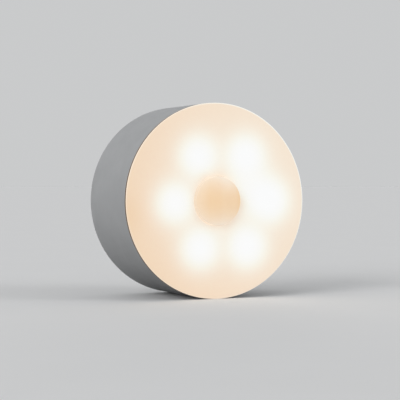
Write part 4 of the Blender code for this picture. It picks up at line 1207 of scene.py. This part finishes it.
def make_contact(name, steel, side, low, high, button, terminal):
    """A stamped contact plate: soft edges, a pressed button for a positive end, a soldering terminal."""
    outline = [(low, CONTACT_TOP), (high, CONTACT_TOP), (high, CONTACT_BOTTOM)]
    if terminal is not None:
        left, right = around(terminal, CONTACT_TAB_HALF_WIDTH)
        outline += [(right, CONTACT_BOTTOM), (right, CONTACT_TAB_END)]
        outline += [(left, CONTACT_TAB_END), (left, CONTACT_BOTTOM)]
    outline.append((low, CONTACT_BOTTOM))
    plate = prism(outline, *on_side(side, CONTACT_OUTER, CONTACT_FACE), "x")
    contact = start_piece(f"{name}_plate", soften(plate, 0.08), steel)
    if button is not None:
        place = along_row(button, side * (CONTACT_FACE + 0.2), -side)
        fuse(contact, facing_out(moved(contact_button(), place)))
    finish_piece(contact, name)


def make_contacts(steel):
    wide = CONTACT_HALF_WIDTH
    first, last = CELL_PITCH, -CELL_PITCH
    make_contact("contact_negative", steel, -1, first - wide, first + wide, None, first)
    make_contact("contact_bridge_left", steel, -1, last - wide, wide, 0.0, None)
    make_contact("contact_bridge_right", steel, 1, -wide, first + wide, first, None)
    make_contact("contact_positive", steel, 1, last - wide, last + wide, last, last)


def spring_points(length):
    """A cone-shaped coil along z: wide at the plate, narrow at the cell."""
    count = int(SPRING_TURNS * SPRING_POINTS)
    points = []
    for index in range(count + 1):
        share = index / count
        radius = SPRING_BASE + (SPRING_TIP - SPRING_BASE) * share
        points.append((*on_ring(radius, 360.0 * SPRING_TURNS * share), length * share))
    return points


def wire_mesh(name, points, radius, sides):
    """A round wire along a line of points, with closed ends, as a mesh."""
    curve = bpy.data.curves.new(name, "CURVE")
    curve.dimensions = "3D"
    curve.bevel_depth = radius * MM
    curve.bevel_resolution = sides
    curve.use_fill_caps = True
    spline = curve.splines.new("POLY")
    spline.points.add(len(points) - 1)
    for point, co in zip(spline.points, points):
        point.co = (*(MM * part for part in co), 1.0)
    return from_curve(curve)


def make_springs(steel):
    radius = 0.5 * SPRING_WIRE
    plate = CONTACT_FACE - SEAT_GAP - radius
    cell = CELL_LENGTH - CELL_END + SEAT_GAP + radius
    for index, (row, side) in enumerate(CELL_ROWS):
        coil = wire_mesh("spring", spring_points(plate - cell), radius, 3)
        spring = start_piece(f"spring_{index + 1}", coil, steel)
        place = along_row(row, -side * plate, side)
        finish_piece(spring, f"contact_spring_{index + 1}", place)


# The light engine: reflector, collar, board and what it carries


def make_reflector(plastic):
    """The white dish round the LEDs, with a window over each."""
    low = REFLECTOR_FLOOR
    high = low + REFLECTOR_WALL
    flange_low = RIB_TOP + SEAT_GAP
    flange_high = SKIRT_END - SEAT_GAP
    hole = COLLAR_RADIUS + 0.9
    hole_low, hole_high = low + 3.4, low + 4.4
    outline = [
        (hole, hole_low),
        (14.2, low),
        (28.0, low),
        (34.0, flange_low),
        (REFLECTOR_RADIUS, flange_low),
        (REFLECTOR_RADIUS, flange_high),
        (33.6, flange_high),
        (27.7, high),
        (14.8, high),
        (hole + 0.5, hole_high),
        (hole, hole_high),
    ]
    dish = start_piece("reflector_dish", turned(outline, 96), plastic)
    for place in led_places():
        cut(dish, disc(place, LED_WINDOW, low - OVERSHOOT, high + OVERSHOOT))
    finish_piece(dish, "reflector")


def make_collar(plastic):
    """The tube that keeps the LEDs' light off the sensor."""
    high = LENS_FLANGE_TOP - SEAT_GAP - LENS_FLANGE
    inner = COLLAR_RADIUS - COLLAR_WALL
    foot = COLLAR_RADIUS + COLLAR_FOOT
    outline = [
        (inner, ON_BOARD),
        (foot, ON_BOARD),
        (foot, ON_BOARD + 0.5),
        (COLLAR_RADIUS, ON_BOARD + 0.5),
        (COLLAR_RADIUS - 0.2, high),
        (inner, high),
    ]
    tube = start_piece("sensor_tube", turned(outline, 96), plastic)
    finish_piece(tube, "sensor_collar")


def led_places():
    return [on_ring(LED_RING, 360.0 / LED_COUNT * index) for index in range(LED_COUNT)]


def sensor_pins():
    return [on_ring(SENSOR_PIN_RING, angle) for angle in SENSOR_PIN_ANGLES]


def make_board(mask):
    """The round circuit board with its screw holes and the sensor's pin holes."""
    outline = rectangle((0.0, BOARD_RADIUS), (BOARD_LOW, BOARD_HIGH))
    board = start_piece("light_board", turned(outline, 96), mask)
    holes = [(on_ring(BOSS_RING, angle), PILOT_RADIUS, 24) for angle in BOSS_ANGLES]
    holes += [(place, 0.6, 16) for place in sensor_pins()]
    for place, radius, segments in holes:
        cut(board, disc(place, radius, BOARD_LOW - OVERSHOOT, BOARD_HIGH + OVERSHOOT, segments))
    finish_piece(board, "circuit_board")


def make_leds(package, phosphor):
    """Six LEDs: a white square package round a cup of phosphor."""
    half_x, half_y, height = 0.5 * LED_SIZE[0], 0.5 * LED_SIZE[1], LED_SIZE[2]

    def outline(inset, radius):
        return round_rectangle((0.0, 0.0), half_x - inset, half_y - inset, radius)

    body, rim, floor = outline(0.0, 0.25), outline(0.4, 0.5), outline(0.55, 0.4)
    sections = ((body, 0.0), (body, height), (rim, height), (floor, height - 0.25))
    for index, place in enumerate(led_places()):
        led = start_piece(f"led_package_{index + 1}", loft(sections), package, phosphor)
        paint(led, lambda middle: 0.3 * height < middle.z < 0.9 * height and middle.xy.length < 0.5)
        turn = Matrix.Rotation(2.0 * pi * index / LED_COUNT, 4, "Z")
        finish_piece(led, f"led_{index + 1}", shift(*place, ON_BOARD) @ turn)


def make_sensor(can, glass):
    """The pyroelectric sensor: a can with a flange, a dark window in its top, three pins."""
    flange, radius, height, edge = 4.8, 4.2, 4.3, 0.3
    shoulder = ON_BOARD + height - edge
    outline = [
        (0.0, ON_BOARD),
        (flange, ON_BOARD),
        (flange, ON_BOARD + 0.5),
        (radius, ON_BOARD + 0.6),
        (radius, shoulder),
    ]
    outline += arc((radius - edge, shoulder), edge, 15.0, 90.0, 5)
    outline.append((0.0, ON_BOARD + height))
    sensor = start_piece("sensor_can", turned(outline, 64), can)
    for place in sensor_pins():
        fuse(sensor, disc(place, 0.25, BOARD_LOW - 1.5, ON_BOARD + 0.3, 16))
    window = round_rectangle((0.0, 0.0), 2.0, 1.5, 0.3)
    cut(sensor, prism(window, shoulder, shoulder + OVERSHOOT), glass)
    finish_piece(sensor, "motion_sensor")


def make_light_sensor(resin):
    """The small domed phototransistor beside the motion sensor."""
    flange, flange_high, radius, shoulder = 1.7, ON_BOARD + 0.8, 1.4, ON_BOARD + 2.4
    outline = [(0.0, ON_BOARD), (flange, ON_BOARD), (flange, flange_high), (radius, flange_high)]
    outline += arc((0.0, shoulder), radius, 0.0, 90.0, 12)[:-1]
    outline.append((0.0, shoulder + radius))
    dome = start_piece("light_sensor_dome", turned(outline, 40), resin)
    finish_piece(dome, "light_sensor", shift(*LIGHT_SENSOR_PLACE))


def make_chip(resin, steel, name, node, centre, size, legs, pitch, leg_width):
    """A black moulded chip on the board's rear side, with metal legs on either side."""
    half_x, half_y, height = size
    body = box(
        around(centre[0], half_x),
        around(centre[1], half_y),
        (UNDER_BOARD - height, UNDER_BOARD - 0.1),
    )
    chip = start_piece(name, soften(body, 0.08), resin)
    for side in (-1, 1):
        leg_y = sorted((centre[1] + side * (half_y - 0.3), centre[1] + side * (half_y + 0.9)))
        for index in range(legs):
            x = centre[0] + (index - 0.5 * (legs - 1)) * pitch
            leg = box(around(x, 0.5 * leg_width), leg_y, (UNDER_BOARD - 0.6, UNDER_BOARD - 0.25))
            fuse(chip, leg, steel)
    finish_piece(chip, node)


def make_capacitor(can):
    """The electrolytic capacitor: an aluminium can with its crimp."""
    radius, end, crimp = 3.15, UNDER_BOARD - 7.0, UNDER_BOARD - 1.3
    outline = [(0.0, end), (radius - 0.3, end)]
    outline += arc((radius - 0.3, end + 0.3), 0.3, -75.0, 0.0, 5)
    outline.append((radius, crimp - 0.3))
    outline += arc((radius + 0.05, crimp), 0.35, 250.0, 110.0, 6)
    outline += [(radius, crimp + 0.3), (radius - 0.15, UNDER_BOARD), (0.0, UNDER_BOARD)]
    capacitor = start_piece("capacitor_can", turned(outline, 48), can)
    finish_piece(capacitor, "capacitor", shift(*CAPACITOR_PLACE))


def cross(reach, half_width):
    """The outline of a cross recess with four equal arms."""
    outline = []
    for turn in range(4):
        c, s = on_ring(1.0, 90.0 * turn)
        for x, y in ((half_width, -half_width), (reach, -half_width), (reach, half_width)):
            outline.append((c * x - s * y, s * x + c * y))
    return outline


def make_screws(steel):
    """Three pan-head screws with a cross recess."""
    tip = ON_BOARD - SCREW_LENGTH
    core = SCREW_RADIUS - THREAD_DEPTH
    head_side = ON_BOARD + 0.8
    outline = [(0.0, tip), (0.5, tip), (SCREW_RADIUS, tip + 1.2)]
    for index in range(THREAD_TURNS):
        low = ON_BOARD - THREAD_LENGTH + index * THREAD_PITCH
        outline += [(SCREW_RADIUS, low), (core, low + 0.2), (core, low + 0.4), (SCREW_RADIUS, low + 0.6)]
    outline += [(SCREW_RADIUS, ON_BOARD), (SCREW_HEAD_RADIUS, ON_BOARD), (SCREW_HEAD_RADIUS, head_side)]
    outline += arc((SCREW_HEAD_RADIUS - 0.6, head_side), 0.6, 20.0, 80.0, 4)
    outline.append((0.0, ON_BOARD + 1.5))
    for index, angle in enumerate(BOSS_ANGLES):
        screw = start_piece(f"pan_screw_{index + 1}", turned(outline, 32), steel)
        cut(screw, prism(cross(1.2, 0.3), ON_BOARD + 0.7, ON_BOARD + 2.0))
        place = shift(*on_ring(BOSS_RING, angle), 0.0)
        finish_piece(screw, f"board_screw_{index + 1}", place)


def make_magnets(steel):
    for index, centre in enumerate(MAGNET_PLACES):
        bar = soften(disc((0.0, 0.0), MAGNET_RADIUS, 0.0, MAGNET_THICKNESS, 48), 0.2)
        magnet = start_piece(f"round_magnet_{index + 1}", bar, steel)
        place = shift(*centre, WALL + SEAT_GAP)
        finish_piece(magnet, f"magnet_{index + 1}", place)


def make_switch_body(steel):
    """The slide switch's metal frame, with the slot that its knob slides in and three pins."""
    outline = round_rectangle((0.0, SWITCH_PLACE), SWITCH_HALF_LENGTH, SWITCH_HALF_WIDTH, 0.4)
    body = soften(prism(outline, SWITCH_LOW, SWITCH_HIGH), 0.15)
    switch = start_piece("switch_frame", body, steel)
    cut(switch, switch_slot(SWITCH_LOW - OVERSHOOT, SWITCH_LOW + 2.0))
    for x in SWITCH_PINS:
        pin = box(around(x, 0.3), around(SWITCH_PLACE, 0.5), (SWITCH_HIGH - 0.5, SWITCH_PIN_END))
        fuse(switch, pin)
    finish_piece(switch, "switch_body")


def bowed_path(start, end, bow):
    """Points of a short wire that leaves and arrives near upright and bows out between."""
    start, end, bow = Vector(start), Vector(end), Vector(bow)
    points = []
    for index in range(LEAD_STEPS + 1):
        share = index / LEAD_STEPS
        flat = start.lerp(end, share * share * (3.0 - 2.0 * share))
        flat.z = start.z + (end.z - start.z) * share
        points.append(tuple(flat + bow * sin(pi * share) ** 2))
    return points


def make_wires(red, black, white):
    """The battery leads and the switch leads, up to the board."""
    leads = []
    x = CONTACT_OUTER - 0.5 * CONTACT_THICKNESS
    for node, side, finish, slot in (
        ("battery_wire_positive", 1, red, "red_insulation"),
        ("battery_wire_negative", -1, black, "black_insulation"),
    ):
        start = (side * x, -side * CELL_PITCH, CONTACT_TAB_END + SEAT_GAP)
        end = (side * 22.0, side * -15.0, UNDER_BOARD)
        leads.append((node, finish, slot, start, end, (side * 2.0, side * -1.0, 0.0)))
    for index, x in enumerate(SWITCH_PINS):
        start = (x, SWITCH_PLACE, SWITCH_PIN_END + SEAT_GAP)
        end = (1.6 * x, SWITCH_PLACE - 4.0, UNDER_BOARD)
        node = f"switch_wire_{index + 1}"
        leads.append((node, white, "white_insulation", start, end, (0.3 * x, 1.2, 0.0)))
    for node, finish, slot, *path in leads:
        wire = start_piece(f"{node}_lead", wire_mesh(node, bowed_path(*path), LEAD_RADIUS, 4), finish)
        finish_piece(wire, node)


# Stage, light and camera


def shows_backdrop(nodes):
    """1 for the rays that show the pale surroundings, 0 for those that carry light to the lamp."""
    path = nodes.node("ShaderNodeLightPath")
    seen = Field(nodes, path.outputs["Is Camera Ray"])
    for kind in ("Is Glossy Ray", "Is Transmission Ray"):
        seen = seen.at_least(path.outputs[kind])
    return seen


def make_floor():
    """A plain pale floor, which throws less light back on the lamp than it shows."""
    finish = Finish("pale_floor", FLOOR_COLOUR, 0.7, {"Specular IOR Level": 0.0})
    dust = finish.spread(finish.noise(40.0, 3.0), 0.5, 1.0)
    pale = ((0.5, shaded(FLOOR_COLOUR, 0.995)), (1.0, shaded(FLOOR_COLOUR, 1.005)))
    shown = finish.ramp(shows_backdrop(finish) * dust, ((0.0, FLOOR_BOUNCE), *pale))
    finish.set_shader({"Base Color": shown})
    bm = bmesh.new()
    bmesh.ops.create_circle(bm, cap_ends=True, segments=96, radius=FLOOR_REACH)
    bmesh.ops.translate(bm, verts=bm.verts, vec=(0.0, 0.0, FLOOR_HEIGHT))
    floor = start_piece("studio_floor", bm, finish.material)


def make_sky():
    """Even light from all round, and a plain pale backdrop where the camera looks past the floor."""
    world = bpy.data.worlds.new("studio")
    bpy.context.scene.world = world
    world.use_nodes = True
    world.node_tree.nodes.clear()
    nodes = Nodes(world.node_tree)
    light, backdrop = (
        nodes.node("ShaderNodeBackground", {"Color": (*colour, 1.0), "Strength": strength}).outputs[0]
        for colour, strength in ((SKY_COLOUR, SKY_STRENGTH), (BACKDROP_COLOUR, 1.0))
    )
    mix = nodes.node("ShaderNodeMixShader", {"Fac": shows_backdrop(nodes), 1: light, 2: backdrop})
    nodes.node("ShaderNodeOutputWorld", {"Surface": mix.outputs[0]})


def make_sun(name, azimuth, elevation, strength, softness, glints):
    """A broad even light from a direction; azimuth 0 is in front of the lamp, 90 on its right."""
    light = bpy.data.lights.new(name, "SUN")
    light.energy = strength
    light.angle = radians(softness)
    a, e = radians(azimuth), radians(elevation)
    towards = Vector((sin(a) * cos(e), -cos(a) * cos(e), sin(e)))
    item = bpy.data.objects.new(name, light)
    item.rotation_euler = towards.to_track_quat("Z", "Y").to_euler()
    item.visible_glossy = glints
    bpy.context.scene.collection.objects.link(item)


def make_camera():
    """The photograph's view: the camera's place is given along and across its own view."""
    yaw, pitch = radians(CAMERA_YAW), radians(CAMERA_PITCH)
    ahead = Vector((sin(yaw), cos(yaw), 0.0))
    right = Vector((cos(yaw), -sin(yaw), 0.0))
    from_front = -CAMERA_ASIDE * right - CAMERA_DISTANCE * ahead + Vector((0.0, 0.0, CAMERA_RISE))
    data = bpy.data.cameras.new("camera")
    data.sensor_width = SENSOR_WIDTH
    data.lens = FOCAL_PIXELS / PHOTO_WIDTH * SENSOR_WIDTH
    data.clip_start = 0.01
    data.clip_end = 100.0
    camera = bpy.data.objects.new("camera", data)
    camera.location = Vector((0.0, -BODY_DEPTH * MM, 0.0)) + BODY_RADIUS * MM * from_front
    camera.rotation_euler = (radians(90.0) + pitch, 0.0, -yaw)
    bpy.context.scene.collection.objects.link(camera)
    bpy.context.scene.camera = camera


def main():
    bpy.context.scene.view_settings.view_transform = "Standard"
    make_camera()

    white = moulded_plastic("white_moulding", (0.403, 0.408, 0.414), 0.5, 0.05)
    black = moulded_plastic("dark_moulding", (0.045, 0.045, 0.048), 0.42)
    bright = moulded_plastic("reflector_moulding", (0.8, 0.8, 0.78), 0.4)
    # Painted shade, warm and dark, for the faces in the groove between the housing and the cover.
    groove_shade = moulded_plastic("painted_groove_shade", (0.2, 0.13, 0.08), 0.6)
    ink = moulded_plastic("legend_ink", (0.05, 0.05, 0.055), 0.5)
    plated = metal("plated_metal", (0.66, 0.65, 0.62), 0.28)
    spring_steel = metal("spring_metal", (0.72, 0.71, 0.68), 0.24)
    can = metal("cell_can_metal", (0.7, 0.69, 0.66), 0.3)
    mask = laminate("board_mask", (0.82, 0.84, 0.81))
    package = moulded_plastic("led_package_resin", (0.8, 0.8, 0.78), 0.35)
    phosphor = moulded_plastic("led_phosphor_dome", (0.92, 0.72, 0.25), 0.35)
    resin = moulded_plastic("chip_resin", (0.02, 0.02, 0.022), 0.5)
    tinted = moulded_plastic("dark_clear_resin", (0.1, 0.09, 0.1), 0.15)
    red = moulded_plastic("red_wire_cover", (0.5, 0.02, 0.015), 0.4)
    dark = moulded_plastic("black_wire_cover", (0.015, 0.015, 0.016), 0.4)
    pale = moulded_plastic("white_wire_cover", (0.75, 0.75, 0.73), 0.4)

    make_housing(white, groove_shade, ink)
    make_cover(frosted_cover(), groove_shade)
    make_lens(milky_lens())
    make_door(white)
    make_knob(black)
    make_cells(can)
    make_contacts(spring_steel)
    make_springs(spring_steel)

    make_reflector(bright)
    make_collar(bright)
    make_board(mask)
    make_leds(package, phosphor)
    make_sensor(plated, tinted)
    make_light_sensor(tinted)
    for chip in CHIPS:
        make_chip(resin, plated, *chip)
    make_capacitor(can)
    make_screws(plated)
    make_magnets(plated)
    make_switch_body(plated)
    make_wires(red, dark, pale)

    make_floor()
    make_sky()
    for sun in SUNS:
        make_sun(*sun)


main()
